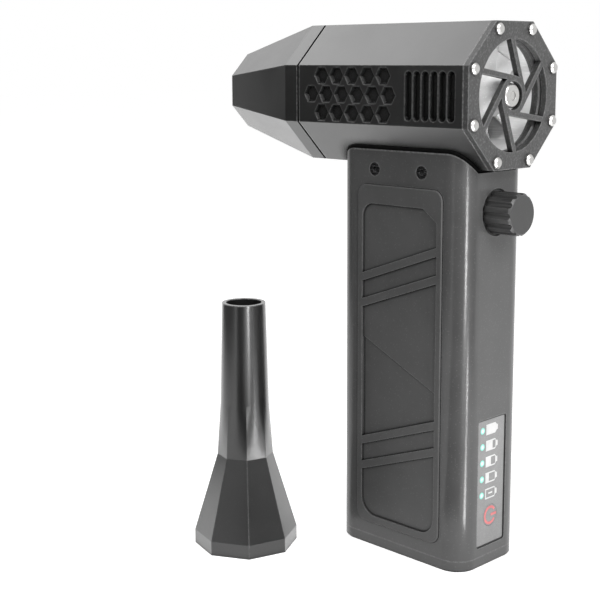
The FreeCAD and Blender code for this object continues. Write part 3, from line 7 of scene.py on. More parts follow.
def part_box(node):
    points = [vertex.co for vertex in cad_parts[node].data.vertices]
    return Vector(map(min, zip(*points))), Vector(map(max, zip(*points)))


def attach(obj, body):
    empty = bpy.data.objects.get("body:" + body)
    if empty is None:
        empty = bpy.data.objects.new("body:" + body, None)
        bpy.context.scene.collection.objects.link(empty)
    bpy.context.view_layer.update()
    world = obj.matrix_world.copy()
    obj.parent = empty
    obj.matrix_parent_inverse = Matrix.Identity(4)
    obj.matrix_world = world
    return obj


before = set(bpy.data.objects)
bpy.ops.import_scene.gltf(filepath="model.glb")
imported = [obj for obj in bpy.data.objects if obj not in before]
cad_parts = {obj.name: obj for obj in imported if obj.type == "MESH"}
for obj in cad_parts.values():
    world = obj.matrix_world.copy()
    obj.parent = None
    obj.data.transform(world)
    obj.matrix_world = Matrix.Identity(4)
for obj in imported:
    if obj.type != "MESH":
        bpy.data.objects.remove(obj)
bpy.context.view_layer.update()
print("frame loaded,", len(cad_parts), "nodes")


# small helpers for shader trees

nodeGrid = {"across": 200, "down": 260, "columns": 8, "start": -300, "end": 1700}


def addNode(tree, kind, values=None, **settings):
    node = tree.nodes.new("ShaderNode" + kind)
    for name, value in settings.items():
        setattr(node, name, value)
    for socket, value in (values or {}).items():
        if isinstance(value, bpy.types.NodeSocket):
            tree.links.new(value, node.inputs[socket])
        else:
            node.inputs[socket].default_value = value
    row, column = divmod(len(tree.nodes), nodeGrid["columns"])
    node.location = (nodeGrid["across"] * column, -nodeGrid["down"] * row)
    return node


def calculate(tree, operation, first, second=0.0, clamp=False):
    node = addNode(tree, "Math", {0: first, 1: second}, operation=operation, use_clamp=clamp)
    return node.outputs[0]


def spread(tree, value, low, high, bottom=0.0, top=1.0):
    levels = {"Value": value, "From Min": low, "From Max": high, "To Min": bottom, "To Max": top}
    return addNode(tree, "MapRange", levels, clamp=True).outputs[0]


def mixColour(tree, share, under, over):
    return addNode(tree, "Mix", {0: share, 6: under, 7: over}, data_type="RGBA").outputs[2]


def layOver(tree, mask, share, under, over):
    return mixColour(tree, calculate(tree, "MULTIPLY", mask, share), under, over)


def noise(tree, place, scale, texture):
    return addNode(tree, "TexNoise", {"Vector": place, "Scale": scale, **texture}).outputs["Fac"]


def grey(level, tint=(1.0, 1.0, 1.0)):
    return (level * tint[0], level * tint[1], level * tint[2], 1.0)


def newGroup(name, inputs, outputs):
    group = bpy.data.node_groups.new(name, "ShaderNodeTree")
    for label, value in inputs.items():
        socket = group.interface.new_socket(name=label, in_out="INPUT", socket_type="NodeSocketFloat")
        socket.default_value = value
    for label, kind in outputs.items():
        group.interface.new_socket(name=label, in_out="OUTPUT", socket_type="NodeSocket" + kind)
    start = group.nodes.new("NodeGroupInput")
    end = group.nodes.new("NodeGroupOutput")
    start.location, end.location = (nodeGrid["start"], 0), (nodeGrid["end"], 0)
    return group, start.outputs, end.inputs


def useGroup(tree, group, values=None):
    return addNode(tree, "Group", values, node_tree=group).outputs


def newMaterial(name):
    material = bpy.data.materials.new(name)
    material.use_nodes = True
    shader = material.node_tree.nodes["Principled BSDF"]
    return material, material.node_tree, shader


def addBump(tree, shader, height, distance, normal=None):
    values = {"Height": height, "Distance": distance, "Strength": 1.0}
    if normal is not None:
        values["Normal"] = normal
    bump = addNode(tree, "Bump", values).outputs["Normal"]
    tree.links.new(bump, shader.inputs["Normal"])
    return bump


# effects shared by several finishes

grainEffect = {
    "pebble": {"Detail": 3.0, "Roughness": 0.65}, "patch": {"Detail": 4.0, "Roughness": 0.6},
    "speckCore": 0.15, "speckRim": 0.5, "toneLow": 0.3, "toneHigh": 0.7,
}


def makeGrain():
    # fine moulded texture: a pebbled height, light specks and a slow change of tone
    look = grainEffect
    inputs = {"Size": 0.0006, "Speck Share": 0.3, "Patch Size": 0.03}
    outputs = {"Height": "Float", "Speck": "Float", "Tone": "Float"}
    group, given, out = newGroup("moulded grain", inputs, outputs)
    place = addNode(group, "TexCoord").outputs["Object"]
    fineScale = calculate(group, "DIVIDE", 1.0, given["Size"])
    coarseScale = calculate(group, "DIVIDE", 1.0, given["Patch Size"])
    pebble = noise(group, place, fineScale, look["pebble"])
    speck = addNode(group, "TexVoronoi", {"Vector": place, "Scale": fineScale}, feature="F1").outputs
    patch = noise(group, place, coarseScale, look["patch"])
    cell = addNode(group, "SeparateColor", {"Color": speck["Color"]}).outputs["Red"]
    chosen = calculate(group, "LESS_THAN", cell, given["Speck Share"])
    near = spread(group, speck["Distance"], look["speckCore"], look["speckRim"], 1.0, 0.0)
    group.links.new(pebble, out["Height"])
    group.links.new(calculate(group, "MULTIPLY", chosen, near), out["Speck"])
    group.links.new(spread(group, patch, look["toneLow"], look["toneHigh"]), out["Tone"])
    return group


edgeEffect = {
    "samples": 6, "flatLevel": 0.95, "wornAndGlinting": 0.45,
    "breakup": {"Detail": 3.0, "Roughness": 0.7}, "breakupLow": 0.3, "breakupHigh": 0.62,
}


def makeEdge():
    # rounded shading and a broken mask along the outer edges, partly wear and partly painted highlight
    look = edgeEffect
    inputs = {"Radius": 0.0003, "Reach": 0.0006, "Break Size": 0.0012}
    outputs = {"Normal": "Vector", "Wear": "Float"}
    group, given, out = newGroup("edge wear and painted glint", inputs, outputs)
    place = addNode(group, "TexCoord").outputs["Object"]
    rounded = addNode(group, "Bevel", {"Radius": given["Radius"]}, samples=look["samples"])
    reach = {"Distance": given["Reach"]}
    inside = addNode(group, "AmbientOcclusion", reach, samples=look["samples"], inside=True)
    near = spread(group, inside.outputs["AO"], look["flatLevel"], look["wornAndGlinting"])
    breakup = noise(group, place, calculate(group, "DIVIDE", 1.0, given["Break Size"]), look["breakup"])
    broken = spread(group, breakup, look["breakupLow"], look["breakupHigh"])
    group.links.new(rounded.outputs["Normal"], out["Normal"])
    group.links.new(calculate(group, "MULTIPLY", near, broken), out["Wear"])
    return group


dustAndCornerShadeEffect = {
    "cloud": {"Detail": 6.0, "Roughness": 0.7}, "cloudLow": 0.4, "cloudHigh": 0.75,
    "samples": 4, "leaning": 0.3, "open": 0.9, "closed": 0.3,
}


def makeDustAndCornerShade():
    # a thin veil of dust on faces that look up, and a mask of the corners for painted shade
    look = dustAndCornerShadeEffect
    inputs = {"Size": 0.02, "Corner Reach": 0.002}
    outputs = {"Veil": "Float", "Corner": "Float"}
    group, given, out = newGroup("dust", inputs, outputs)
    place = addNode(group, "TexCoord").outputs["Object"]
    normal = addNode(group, "NewGeometry").outputs["Normal"]
    facing = addNode(group, "SeparateXYZ", {0: normal}).outputs["Z"]
    cloud = noise(group, place, calculate(group, "DIVIDE", 1.0, given["Size"]), look["cloud"])
    reach = {"Distance": given["Corner Reach"]}
    shade = addNode(group, "AmbientOcclusion", reach, samples=look["samples"])
    upward = spread(group, facing, look["leaning"], 1.0)
    clouded = spread(group, cloud, look["cloudLow"], look["cloudHigh"])
    group.links.new(calculate(group, "MULTIPLY", upward, clouded), out["Veil"])
    group.links.new(spread(group, shade.outputs["AO"], look["open"], look["closed"]), out["Corner"])
    return group


def makeBrush():
    # fine lines left by a tool, running along x
    inputs = {"Pitch": 0.0004, "Stretch": 30.0}
    outputs = {"Line": "Float"}
    group, given, out = newGroup("tool lines", inputs, outputs)
    place = addNode(group, "TexCoord").outputs["Object"]
    parts = addNode(group, "SeparateXYZ", {0: place}).outputs
    slow = calculate(group, "DIVIDE", parts["X"], given["Stretch"])
    squeezed = addNode(group, "CombineXYZ", {0: slow, 1: parts["Y"], 2: parts["Z"]}).outputs[0]
    scale = calculate(group, "DIVIDE", 1.0, given["Pitch"])
    group.links.new(noise(group, squeezed, scale, {"Detail": 2.0, "Roughness": 0.5}), out["Line"])
    return group


grainGroup = makeGrain()
edgeGroup = makeEdge()
dustAndCornerShadeGroup = makeDustAndCornerShade()
brushGroup = makeBrush()
print("shared effects made")


# moulded plastics; speck is the share of cells with a speck, speckle how strongly it shows; wear sets how
# strongly the edges are lightened, partly as wear and partly as painted highlight

# the corner depth sets how strongly corners and recesses take painted shade
plasticLooks = {
    "housing_plastic": {
        "base": 0.010, "roughness": 0.34, "ior": 1.50, "coat": 0.90, "coatRoughness": 0.22,
        "grain": 0.00055, "bump": 0.000010, "speck": 0.10, "speckle": 0.35,
        "edge": 0.00035, "wear": 0.60, "wearAndGlintReach": 0.0007, "cornerReach": 0.006, "cornerShadeDepth": 4.0,
    },
    "guard_plastic": {
        "base": 0.027, "roughness": 0.40, "ior": 1.50, "coat": 0.30, "coatRoughness": 0.30,
        "grain": 0.0011, "bump": 0.000240, "speck": 0.60, "speckle": 1.0,
        "edge": 0.00030, "wear": 0.35, "wearAndGlintReach": 0.0006, "cornerReach": 0.002, "cornerShadeDepth": 0.95,
    },
    "handle_plastic": {
        "base": 0.055, "roughness": 0.46, "ior": 1.30, "coat": 0.55, "coatRoughness": 0.14,
        "grain": 0.0007, "bump": 0.000026, "speck": 0.12, "speckle": 0.35,
        "edge": 0.00030, "wear": 0.30, "wearAndGlintReach": 0.0006, "cornerReach": 0.002, "cornerShadeDepth": 0.95,
    },
    "panel_plastic": {
        "base": 0.050, "roughness": 0.42, "ior": 1.48, "coat": 0.0, "coatRoughness": 0.30,
        "grain": 0.0007, "bump": 0.000014, "speck": 0.10, "speckle": 0.35,
        "edge": 0.00022, "wear": 0.25, "wearAndGlintReach": 0.0005, "cornerReach": 0.001, "cornerShadeDepth": 2.2,
    },
    "nozzle_plastic": {
        "base": 0.009, "roughness": 0.32, "ior": 1.50, "coat": 0.80, "coatRoughness": 0.18,
        "grain": 0.0007, "bump": 0.000020, "speck": 0.18, "speckle": 0.35,
        "edge": 0.00035, "wear": 0.55, "wearAndGlintReach": 0.0007, "cornerReach": 0.002, "cornerShadeDepth": 0.95,
    },
    "knob_plastic": {
        "base": 0.024, "roughness": 0.40, "ior": 1.45, "coat": 0.30, "coatRoughness": 0.28,
        "grain": 0.0006, "bump": 0.000012, "speck": 0.08, "speckle": 0.35,
        "edge": 0.00030, "wear": 0.22, "wearAndGlintReach": 0.0005, "cornerReach": 0.002, "cornerShadeDepth": 0.95,
    },
    "inner_plastic": {
        "base": 0.016, "roughness": 0.50, "ior": 1.46, "coat": 0.0, "coatRoughness": 0.30,
        "grain": 0.0007, "bump": 0.000015, "speck": 0.05, "speckle": 0.35,
        "edge": 0.00020, "wear": 0.10, "wearAndGlintReach": 0.0005, "cornerReach": 0.002, "cornerShadeDepth": 0.95,
    },
    "gasket_rubber": {
        "base": 0.002, "roughness": 0.80, "ior": 1.20, "coat": 0.0, "coatRoughness": 0.30,
        "grain": 0.0004, "bump": 0.000015, "speck": 0.05, "speckle": 0.35,
        "edge": 0.00020, "wear": 0.02, "wearAndGlintReach": 0.0004, "cornerReach": 0.002, "cornerShadeDepth": 0.95,
    },
}
# tones are shares of the base; the edge colour is paler plastic on worn edges and also a painted highlight
# along them
plasticBody = {
    "toneLow": 0.86, "toneHigh": 1.14, "speckTone": 2.6, "cornerShadeTone": 0.25, "cornerShadeShare": 0.8,
    "wornAndGlintEdge": grey(0.42), "dust": grey(0.35, (1.0, 0.98, 0.94)), "dustShare": 0.05, "dustRoughness": 0.12,
    "smoother": 0.04, "rougher": 0.05, "specularLevel": 0.5,
}


def makePlastic(name, look):
    shared, base = plasticBody, look["base"]
    material, tree, shader = newMaterial(name)
    grain = useGroup(tree, grainGroup, {"Size": look["grain"], "Speck Share": look["speck"]})
    edge = useGroup(tree, edgeGroup, {"Radius": look["edge"], "Reach": look["wearAndGlintReach"]})
    dust = useGroup(tree, dustAndCornerShadeGroup, {"Corner Reach": look["cornerReach"]})
    body = mixColour(tree, grain["Tone"], grey(base * shared["toneLow"]), grey(base * shared["toneHigh"]))
    specked = layOver(tree, grain["Speck"], look["speckle"], body, grey(base * shared["speckTone"]))
    # painted highlight: the edges are lightened from the edge mask, partly as wear
    wornAndGlinting = layOver(tree, edge["Wear"], look["wear"], specked, shared["wornAndGlintEdge"])
    dusty = layOver(tree, dust["Veil"], shared["dustShare"], wornAndGlinting, shared["dust"])
    # painted shade: corners and recesses darken from an occlusion mask, which also takes coat and specular
    # away there
    paintedCornerShade = calculate(tree, "MULTIPLY", dust["Corner"], look["cornerShadeDepth"], True)
    cornerShaded = layOver(tree, paintedCornerShade, shared["cornerShadeShare"], dusty, grey(base * shared["cornerShadeTone"]))
    tree.links.new(cornerShaded, shader.inputs["Base Color"])
    smooth, rough = look["roughness"] - shared["smoother"], look["roughness"] + shared["rougher"]
    polish = spread(tree, grain["Tone"], 0.0, 1.0, smooth, rough)
    dulled = calculate(tree, "MULTIPLY", dust["Veil"], shared["dustRoughness"])
    tree.links.new(calculate(tree, "ADD", polish, dulled, True), shader.inputs["Roughness"])
    shader.inputs["IOR"].default_value = look["ior"]
    bump = addBump(tree, shader, grain["Height"], look["bump"], edge["Normal"])
    clear = calculate(tree, "SUBTRACT", 1.0, paintedCornerShade)
    tree.links.new(calculate(tree, "MULTIPLY", clear, look["coat"]), shader.inputs["Coat Weight"])
    gloss = calculate(tree, "MULTIPLY", clear, shared["specularLevel"])
    tree.links.new(gloss, shader.inputs["Specular IOR Level"])
    shader.inputs["Coat Roughness"].default_value = look["coatRoughness"]
    tree.links.new(bump, shader.inputs["Coat Normal"])
    return material


# metals; dark is how far the tool lines go down from the base, corner how dark the painted shade in the
# corners is

metalLooks = {
    "fan_metal": {
        "base": 0.97, "tint": (1.0, 1.0, 1.0), "roughness": 0.22, "metallic": 0.18,
        "pitch": 0.0005, "bump": 0.000004, "dark": 0.04, "corner": 0.03,
    },
    "bright_screw": {
        "base": 0.62, "tint": (1.0, 0.99, 0.97), "roughness": 0.30, "metallic": 1.0,
        "pitch": 0.0003, "bump": 0.000003, "dark": 0.20, "corner": 0.80,
    },
    "black_screw": {
        "base": 0.17, "tint": (1.0, 1.0, 1.02), "roughness": 0.24, "metallic": 1.0,
        "pitch": 0.0003, "bump": 0.000003, "dark": 0.30, "corner": 0.70,
    },
    "steel": {
        "base": 0.62, "tint": (1.0, 0.99, 0.97), "roughness": 0.22, "metallic": 1.0,
        "pitch": 0.0003, "bump": 0.000002, "dark": 0.15, "corner": 0.45,
    },
    "motor_metal": {
        "base": 0.55, "tint": (1.0, 0.99, 0.98), "roughness": 0.34, "metallic": 1.0,
        "pitch": 0.0006, "bump": 0.000004, "dark": 0.20, "corner": 0.45,
    },
    "copper": {
        "base": 0.70, "tint": (1.0, 0.50, 0.30), "roughness": 0.30, "metallic": 1.0,
        "pitch": 0.0006, "bump": 0.000030, "dark": 0.45, "corner": 0.45,
    },
}
# what all metals share: stains, bright edges that are partly wear and partly painted highlight, painted
# shade in the corners and how the lines change the polish
metalBody = {
    "grain": 0.0004, "patch": 0.008, "edge": 0.0002, "wearAndGlintReach": 0.0004, "cornerReach": 0.0015,
    "lineLow": 0.3, "lineHigh": 0.7, "stainShare": 0.15, "stainTone": 0.6, "wearAndGlintShare": 0.3,
    "brighter": 1.3, "brightLift": 0.05, "brightest": 0.92, "cornerShadeTone": 0.15,
    "polishLow": 0.2, "polishHigh": 0.8, "smoother": 0.05, "rougher": 0.08,
}


def makeMetal(name, look):
    shared, base, tint = metalBody, look["base"], look["tint"]
    material, tree, shader = newMaterial(name)
    grain = useGroup(tree, grainGroup, {"Size": shared["grain"], "Patch Size": shared["patch"]})
    lines = useGroup(tree, brushGroup, {"Pitch": look["pitch"]})
    edge = useGroup(tree, edgeGroup, {"Radius": shared["edge"], "Reach": shared["wearAndGlintReach"]})
    dust = useGroup(tree, dustAndCornerShadeGroup, {"Corner Reach": shared["cornerReach"]})
    lined = spread(tree, lines["Line"], shared["lineLow"], shared["lineHigh"])
    body = mixColour(tree, lined, grey(base * (1.0 - look["dark"]), tint), grey(base, tint))
    stain = grey(base * shared["stainTone"], tint)
    stained = layOver(tree, grain["Tone"], shared["stainShare"], body, stain)
    bright = min(base * shared["brighter"] + shared["brightLift"], shared["brightest"])
    # painted highlight: the edges are lightened from the edge mask, partly as wear
    wornAndGlinting = layOver(tree, edge["Wear"], shared["wearAndGlintShare"], stained, grey(bright))
    # painted shade darkens the corners
    cornerShaded = layOver(tree, dust["Corner"], look["corner"], wornAndGlinting, grey(base * shared["cornerShadeTone"]))
    tree.links.new(cornerShaded, shader.inputs["Base Color"])
    smooth, rough = look["roughness"] - shared["smoother"], look["roughness"] + shared["rougher"]
    polish = spread(tree, lines["Line"], shared["polishLow"], shared["polishHigh"], smooth, rough)
    tree.links.new(polish, shader.inputs["Roughness"])
    shader.inputs["Metallic"].default_value = look["metallic"]
    addBump(tree, shader, lines["Line"], look["bump"], edge["Normal"])
    return material


# label film, circuit boards, sleeves and printing ink; the black one paints a shadow line round the label

thinLooks = {
    "label_film": {
        "low": grey(0.175), "high": grey(0.205), "roughness": 0.24, "ior": 1.55,
        "grain": 0.0005, "bump": 0.000004,
    },
    "circuit_board": {
        "low": (0.006, 0.050, 0.024, 1), "high": (0.012, 0.085, 0.040, 1), "roughness": 0.32, "ior": 1.5,
        "grain": 0.0012, "bump": 0.000020,
    },
    "lead_sleeve": {
        "low": (0.22, 0.012, 0.010, 1), "high": (0.34, 0.020, 0.016, 1), "roughness": 0.42, "ior": 1.45,
        "grain": 0.0006, "bump": 0.000010,
    },
    "cell_sleeve": {
        "low": (0.010, 0.070, 0.150, 1), "high": (0.016, 0.100, 0.210, 1), "roughness": 0.28, "ior": 1.5,
        "grain": 0.0010, "bump": 0.000012,
    },
    "white ink": {
        "low": grey(0.48), "high": grey(0.58), "roughness": 0.38, "ior": 1.45,
        "grain": 0.0004, "bump": 0.000004,
    },
    "red ink": {
        "low": (0.46, 0.115, 0.120, 1), "high": (0.60, 0.170, 0.175, 1), "roughness": 0.38, "ior": 1.45,
        "grain": 0.0004, "bump": 0.000004,
    },
    # near black, used for the painted shadow line round the label
    "black ink": {
        "low": grey(0.006), "high": grey(0.010), "roughness": 0.38, "ior": 1.45,
        "grain": 0.0004, "bump": 0.000004,
    },
}
thinBody = {
    "patch": 0.006, "speck": 0.15, "speckShare": 0.12, "speckTone": 0.5, "cornerShadeShare": 0.3,
    "cornerShadeTone": 0.02, "polishLow": 0.2, "polishHigh": 0.8, "smoother": 0.04, "rougher": 0.06,
}


def makeThin(name, look):
    shared = thinBody
    material, tree, shader = newMaterial(name)
    grainValues = {"Size": look["grain"], "Patch Size": shared["patch"], "Speck Share": shared["speck"]}
    grain = useGroup(tree, grainGroup, grainValues)
    dust = useGroup(tree, dustAndCornerShadeGroup)
    body = mixColour(tree, grain["Tone"], look["low"], look["high"])
    specked = layOver(tree, grain["Speck"], shared["speckShare"], body, grey(shared["speckTone"]))
    # painted shade darkens the corners
    cornerShaded = layOver(tree, dust["Corner"], shared["cornerShadeShare"], specked, grey(shared["cornerShadeTone"]))
    tree.links.new(cornerShaded, shader.inputs["Base Color"])
    smooth, rough = look["roughness"] - shared["smoother"], look["roughness"] + shared["rougher"]
    polish = spread(tree, grain["Height"], shared["polishLow"], shared["polishHigh"], smooth, rough)
    tree.links.new(polish, shader.inputs["Roughness"])
    shader.inputs["IOR"].default_value = look["ior"]
    addBump(tree, shader, grain["Height"], look["bump"])
    return material


# lit lamps of the charge gauge

lampLook = {
    "edge": (0.16, 0.46, 0.38, 1), "middle": (0.66, 0.96, 0.84, 1), "core": 0.0003, "reach": 0.0012,
    "glow": 0.30, "cloudShare": 0.25, "grain": 0.0003, "patch": 0.0015, "bump": 0.000006,
    "polishLow": 0.2, "polishHigh": 0.8, "smooth": 0.15, "rough": 0.30, "count": 5,
}


def makeLamp(name, look):
    # round lenses in a column, each paler in its middle
    material, tree, shader = newMaterial(name)
    low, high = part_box("gauge_lamps")
    half = (high.y - low.y) / 2
    pitch = (high.z - low.z - 2 * half) / (look["count"] - 1)
    grain = useGroup(tree, grainGroup, {"Size": look["grain"], "Patch Size": look["patch"]})
    parts = addNode(tree, "SeparateXYZ", {0: addNode(tree, "TexCoord").outputs["Object"]}).outputs
    across = calculate(tree, "SUBTRACT", parts["Y"], low.y + half)
    climb = calculate(tree, "DIVIDE", calculate(tree, "SUBTRACT", parts["Z"], low.z + half), pitch)
    nearest = calculate(tree, "ROUND", climb)
    offset = calculate(tree, "MULTIPLY", calculate(tree, "SUBTRACT", climb, nearest), pitch)
    acrossSquared = calculate(tree, "MULTIPLY", across, across)
    offsetSquared = calculate(tree, "MULTIPLY", offset, offset)
    ring = calculate(tree, "SQRT", calculate(tree, "ADD", acrossSquared, offsetSquared))
    light = mixColour(tree, spread(tree, ring, look["core"], look["reach"]), look["middle"], look["edge"])
    clouded = layOver(tree, grain["Tone"], look["cloudShare"], light, look["edge"])
    tree.links.new(clouded, shader.inputs["Base Color"])
    tree.links.new(clouded, shader.inputs["Emission Color"])
    shader.inputs["Emission Strength"].default_value = look["glow"]
    levels = (look["polishLow"], look["polishHigh"], look["smooth"], look["rough"])
    tree.links.new(spread(tree, grain["Height"], *levels), shader.inputs["Roughness"])
    addBump(tree, shader, grain["Height"], look["bump"])
    return material


finishes = {name: makePlastic(name.replace("_", " "), look) for name, look in plasticLooks.items()}
finishes.update({name: makeMetal(name.replace("_", " "), look) for name, look in metalLooks.items()})
finishes.update({name: makeThin(name.replace("_", " "), look) for name, look in thinLooks.items()})
finishes["lamp_lens"] = makeLamp("lamp lens", lampLook)

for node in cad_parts.values():
    for slot in node.material_slots:
        slot.material = finishes[slot.material.name.split(".")[0]]
print("finishes on", len(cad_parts), "nodes")


# printed marks on the label

printing = {"lift": 0.00003, "thickness": 0.00003}


def flatMark(name, outlines, middle, body, finish):
    # a thin plate lying on a face that looks along x, with its middle at (depth, across, height)
    # outlines are lists of (right, up), and one inside another is a hole
    curve = bpy.data.curves.new(name, "CURVE")
    curve.dimensions = "2D"
    curve.fill_mode = "BOTH"
    curve.extrude = printing["thickness"]
    for outline in outlines:
        spline = curve.splines.new("POLY")
        spline.points.add(len(outline) - 1)
        for point, (right, up) in zip(spline.points, outline):
            point.co = (right, up, 0.0, 1.0)
        spline.use_cyclic_u = True
    drawing = bpy.data.objects.new(name + "Drawing", curve)
    bpy.context.scene.collection.objects.link(drawing)
    mesh = bpy.data.meshes.new_from_object(drawing)
    bpy.data.objects.remove(drawing)
    mesh.name = name
    depth, across, height = middle
    turn = Matrix(((0, 0, 1, depth + printing["lift"]), (1, 0, 0, across), (0, 1, 0, height), (0, 0, 0, 1)))
    mesh.transform(turn)
    mesh.materials.clear()
    mesh.materials.append(finishes[finish])
    mark = bpy.data.objects.new(name, mesh)
    bpy.context.scene.collection.objects.link(mark)
    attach(mark, body)


def block(left, right, low, high):
    return [(left, low), (right, low), (right, high), (left, high)]


# battery outlines beside the lamps, the top one full; filled is the white share of each

gaugeMarks = {
    "left": -0.0038, "right": 0.0037, "tip": 0.0046, "tipHeight": 0.0024, "height": 0.0048,
    "corner": 0.0010, "line": 0.00060, "dashHeight": 0.0007, "dashLength": 0.0028,
    "filled": (1.0, 0.66, 0.50, 0.30, 0.0),
}


def cellOutline():
    marks = gaugeMarks
    left, right, tip, corner = marks["left"], marks["right"], marks["tip"], marks["corner"]
    half, tipHalf = marks["height"] / 2, marks["tipHeight"] / 2
    return [
        (left, -half), (right - corner, -half), (right, -half + corner), (right, -tipHalf), (tip, -tipHalf),
        (tip, tipHalf), (right, tipHalf), (right, half - corner), (right - corner, half), (left, half),
    ]


def makeGaugeMarks():
    marks = gaugeMarks
    low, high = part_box("gauge_lamps")
    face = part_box("label_plate")[1].x
    lampHalf = (high.y - low.y) / 2
    bottom, top = low.z + lampHalf, high.z - lampHalf
    left, right = marks["left"] + marks["line"], marks["right"] - marks["line"]
    half = marks["height"] / 2 - marks["line"]
    for index, filled in enumerate(marks["filled"]):
        height = top - (top - bottom) * index / (len(marks["filled"]) - 1)
        outlines = [cellOutline()]
        if filled < 1.0:
            outlines.append(block(left + (right - left) * filled, right, -half, half))
        if filled == 0.0:
            middle, length, dash = (left + right) / 2, marks["dashLength"] / 2, marks["dashHeight"] / 2
            outlines.append(block(middle - length, middle + length, -dash, dash))
        flatMark(f"gaugeMark{index + 1}", outlines, (face, 0.0, height), "casing", "white ink")


# broken ring with a bar through the gap, lying on its side; gap is half the opening, in degrees

powerMark = {
    "radius": 0.0043, "line": 0.00115, "gap": 34.0, "barStart": 0.0006, "barEnd": 0.0046, "steps": 48,
}


def makePowerMark():
    mark = powerMark
    low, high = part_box("power_key")
    outer, inner = mark["radius"], mark["radius"] - mark["line"]
    start, stop = math.radians(mark["gap"]), math.radians(360.0 - mark["gap"])
    angles = [start + (stop - start) * step / mark["steps"] for step in range(mark["steps"] + 1)]
    ring = [(outer * math.cos(angle), outer * math.sin(angle)) for angle in angles]
    ring += [(inner * math.cos(angle), inner * math.sin(angle)) for angle in reversed(angles)]
    half = mark["line"] / 2
    bar = block(mark["barStart"], mark["barEnd"], -half, half)
    middle = (low + high) / 2
    flatMark("powerMark", [ring, bar], (high.x, middle.y, middle.z), "key", "red ink")


# painted shadow: a dark line round the label, standing in for the shade at the edges of its recess

paintedShadowLine = {"inset": 0.00010, "line": 0.00045, "corner": 0.0012, "steps": 6}


def roundedOutline(half, tall, corner):
    steps = paintedShadowLine["steps"]
    outline = []
    for number, (side, rise) in enumerate(((1, 1), (-1, 1), (-1, -1), (1, -1))):
        for step in range(steps + 1):
            turn = math.radians(90.0 * (number + step / steps))
            right = side * (half - corner) + corner * math.cos(turn)
            up = rise * (tall - corner) + corner * math.sin(turn)
            outline.append((right, up))
    return outline


def makePaintedShadowLine():
    mark = paintedShadowLine
    low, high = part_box("label_plate")
    half, tall = (high.y - low.y) / 2 - mark["inset"], (high.z - low.z) / 2 - mark["inset"]
    line = mark["line"]
    outer = roundedOutline(half, tall, mark["corner"])
    inner = roundedOutline(half - line, tall - line, mark["corner"] - line)
    middle = (low + high) / 2
    # the ring is drawn in near-black ink as a painted shadow line
    flatMark("paintedShadowLine", [outer, inner], (high.x, middle.y, middle.z), "casing", "black ink")


makeGaugeMarks()
makePowerMark()
makePaintedShadowLine()
print("printed marks on the label")


# floor, black cards, world and lamps

studio = {
    "floorSize": 12.0, "floorColour": 0.80, "floorLift": 0.64, "floorRoughness": 0.9, "ambient": 0.45,
    "cardColour": 0.012, "cardRoughness": 0.9,
}
flags = [
    {"place": (-0.343, -0.369, 0.155), "size": (0.80, 0.30), "lying": False, "glossOnly": False},
    {"place": (0.17, -0.42, 0.155), "size": (0.30, 0.30), "lying": False, "glossOnly": False},
    {"place": (0.38, 0.03, 0.08), "size": (0.24, 0.15), "lying": False, "glossOnly": False},
    {"place": (0.10, -0.26, 0.002), "size": (0.22, 0.36), "lying": True, "glossOnly": True},
    {"place": (0.060, -0.072, 0.081), "size": (0.055, 0.155), "lying": False, "glossOnly": True},
]
lamps = {
    "highBox": {
        "place": (-0.88, -0.19, 1.10), "aim": (0.0, 0.0, 0.235), "size": (0.8, 0.6),
        "power": 2.4, "turn": 0.0,
    },
    "cornerStrip": {
        "place": (0.524, -0.270, 0.060), "aim": (0.034, -0.02, 0.060), "size": (0.07, 0.105),
        "power": 0.80, "turn": 0.0,
    },
    "floorNear": {
        "place": (0.182, -0.046, 0.003), "aim": (0.182, -0.046, 1.0), "size": (0.20, 0.012),
        "power": 0.20, "turn": -10.0,
    },
    "floorFar": {
        "place": (0.413, -0.087, 0.003), "aim": (0.413, -0.087, 1.0), "size": (0.26, 0.032),
        "power": 0.84, "turn": -10.0,
    },
    "frontHigh": {
        "place": (0.10, -0.75, 0.88), "aim": (0.0, 0.0, 0.15), "size": (0.6, 0.5),
        "power": 4.5, "turn": 0.0,
    },
    "rearHigh": {
        "place": (0.62, -0.10, 0.62), "aim": (0.04, 0.0, 0.15), "size": (0.4, 0.4),
        "power": 4.4, "turn": 0.0,
    },
}


def seenDirectly(tree):
    # 1 for rays from the camera, from gloss and through clear things
    path = addNode(tree, "LightPath").outputs
    first = calculate(tree, "MAXIMUM", path["Is Camera Ray"], path["Is Glossy Ray"])
    return calculate(tree, "MAXIMUM", first, path["Is Transmission Ray"])


def makeSheet(name, wide, tall, material):
    right, up = wide / 2, tall / 2
    mesh = bpy.data.meshes.new(name)
    corners = [(-right, -up, 0), (right, -up, 0), (right, up, 0), (-right, up, 0)]
    mesh.from_pydata(corners, [], [(0, 1, 2, 3)])
    mesh.materials.append(material)
    sheet = bpy.data.objects.new(name, mesh)
    bpy.context.scene.collection.objects.link(sheet)
    return sheet


def makeFloor():
    material, tree, shader = newMaterial("studio floor")
    shader.inputs["Base Color"].default_value = grey(studio["floorColour"])
    shader.inputs["Roughness"].default_value = studio["floorRoughness"]
    shader.inputs["Specular IOR Level"].default_value = 0.0
    shader.inputs["Emission Color"].default_value = grey(1.0)
    lift = calculate(tree, "MULTIPLY", seenDirectly(tree), studio["floorLift"])
    tree.links.new(lift, shader.inputs["Emission Strength"])
    floor = makeSheet("studioFloor", studio["floorSize"], studio["floorSize"], material)


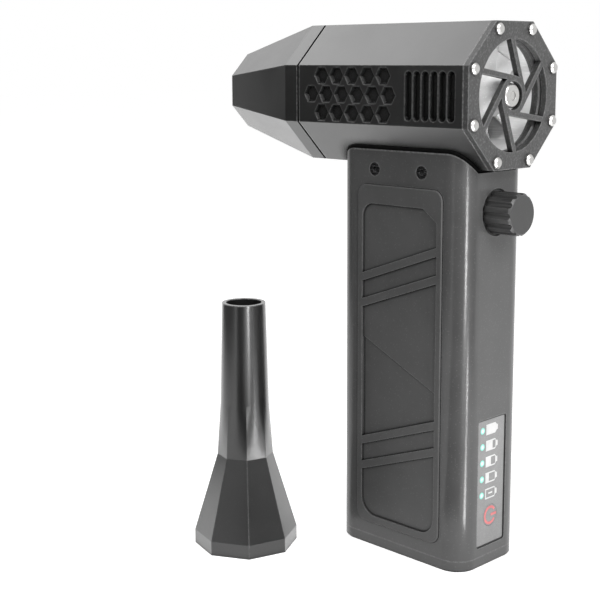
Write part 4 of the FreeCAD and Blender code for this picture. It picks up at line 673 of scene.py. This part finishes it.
def makeFlags():
    # black cards that the camera does not see keep the upright facets dark
    material, tree, shader = newMaterial("black card")
    shader.inputs["Base Color"].default_value = grey(studio["cardColour"])
    shader.inputs["Roughness"].default_value = studio["cardRoughness"]
    for number, look in enumerate(flags):
        wide, tall = look["size"]
        flag = makeSheet(f"blackFlag{number}", wide, tall, material)
        flag.location = look["place"]
        flag.visible_camera = False
        if look["glossOnly"]:  # met by reflections alone, so it takes no light from floor or object
            flag.visible_diffuse = False
            flag.visible_shadow = False
        if not look["lying"]:  # an upright card faces the middle of the object
            outward = Vector(look["place"])
            outward.z = 0.0
            flag.rotation_mode = "QUATERNION"
            flag.rotation_quaternion = outward.to_track_quat("Z", "Y")


def makeWorld():
    world = bpy.data.worlds.new("studio")
    bpy.context.scene.world = world
    world.use_nodes = True
    tree = world.node_tree
    backdrop = tree.nodes["Background"]
    backdrop.inputs["Color"].default_value = grey(1.0)
    strength = spread(tree, seenDirectly(tree), 0.0, 1.0, studio["ambient"], 1.0)
    tree.links.new(strength, backdrop.inputs["Strength"])


def makeLamps():
    for name, lamp in lamps.items():
        light = bpy.data.lights.new(name, "AREA")
        light.shape = "RECTANGLE"
        light.size, light.size_y = lamp["size"]
        light.energy = lamp["power"]
        item = bpy.data.objects.new(name, light)
        bpy.context.scene.collection.objects.link(item)
        item.location = lamp["place"]
        item.rotation_mode = "QUATERNION"
        item.rotation_quaternion = (Vector(lamp["place"]) - Vector(lamp["aim"])).to_track_quat("Z", "Y")
        item.rotation_quaternion.rotate(Quaternion((0, 0, 1), math.radians(lamp["turn"])))
        item.visible_camera = False


makeFloor()
makeFlags()
makeWorld()
makeLamps()
print("floor, world,", len(flags), "black cards and", len(lamps), "lamps")


# camera at the picture's viewpoint

view = {
    "place": (0.35743, -0.434143, 0.22498), "azimuth": 45.483, "elevation": 8.76, "roll": -0.203,
    "lens": 74.75, "sensor": 36.0, "shiftUp": -0.0833, "nearest": 0.01, "farthest": 50.0,
}


def makeCamera():
    around, above, roll = (math.radians(view[key]) for key in ("azimuth", "elevation", "roll"))
    level = math.cos(above)
    back = Vector((math.sin(around) * level, -math.cos(around) * level, math.sin(above)))
    right = Vector((math.cos(around), math.sin(around), 0.0))
    up = back.cross(right)
    rightRolled = right * math.cos(roll) + up * math.sin(roll)
    upRolled = up * math.cos(roll) - right * math.sin(roll)
    data = bpy.data.cameras.new("view")
    data.lens, data.sensor_width, data.shift_y = view["lens"], view["sensor"], view["shiftUp"]
    data.clip_start, data.clip_end = view["nearest"], view["farthest"]
    camera = bpy.data.objects.new("view", data)
    bpy.context.scene.collection.objects.link(camera)
    turn = Matrix((rightRolled, upRolled, back)).transposed().to_4x4()
    camera.matrix_world = Matrix.Translation(view["place"]) @ turn
    bpy.context.scene.camera = camera


makeCamera()
bpy.context.scene.view_settings.view_transform = "Standard"
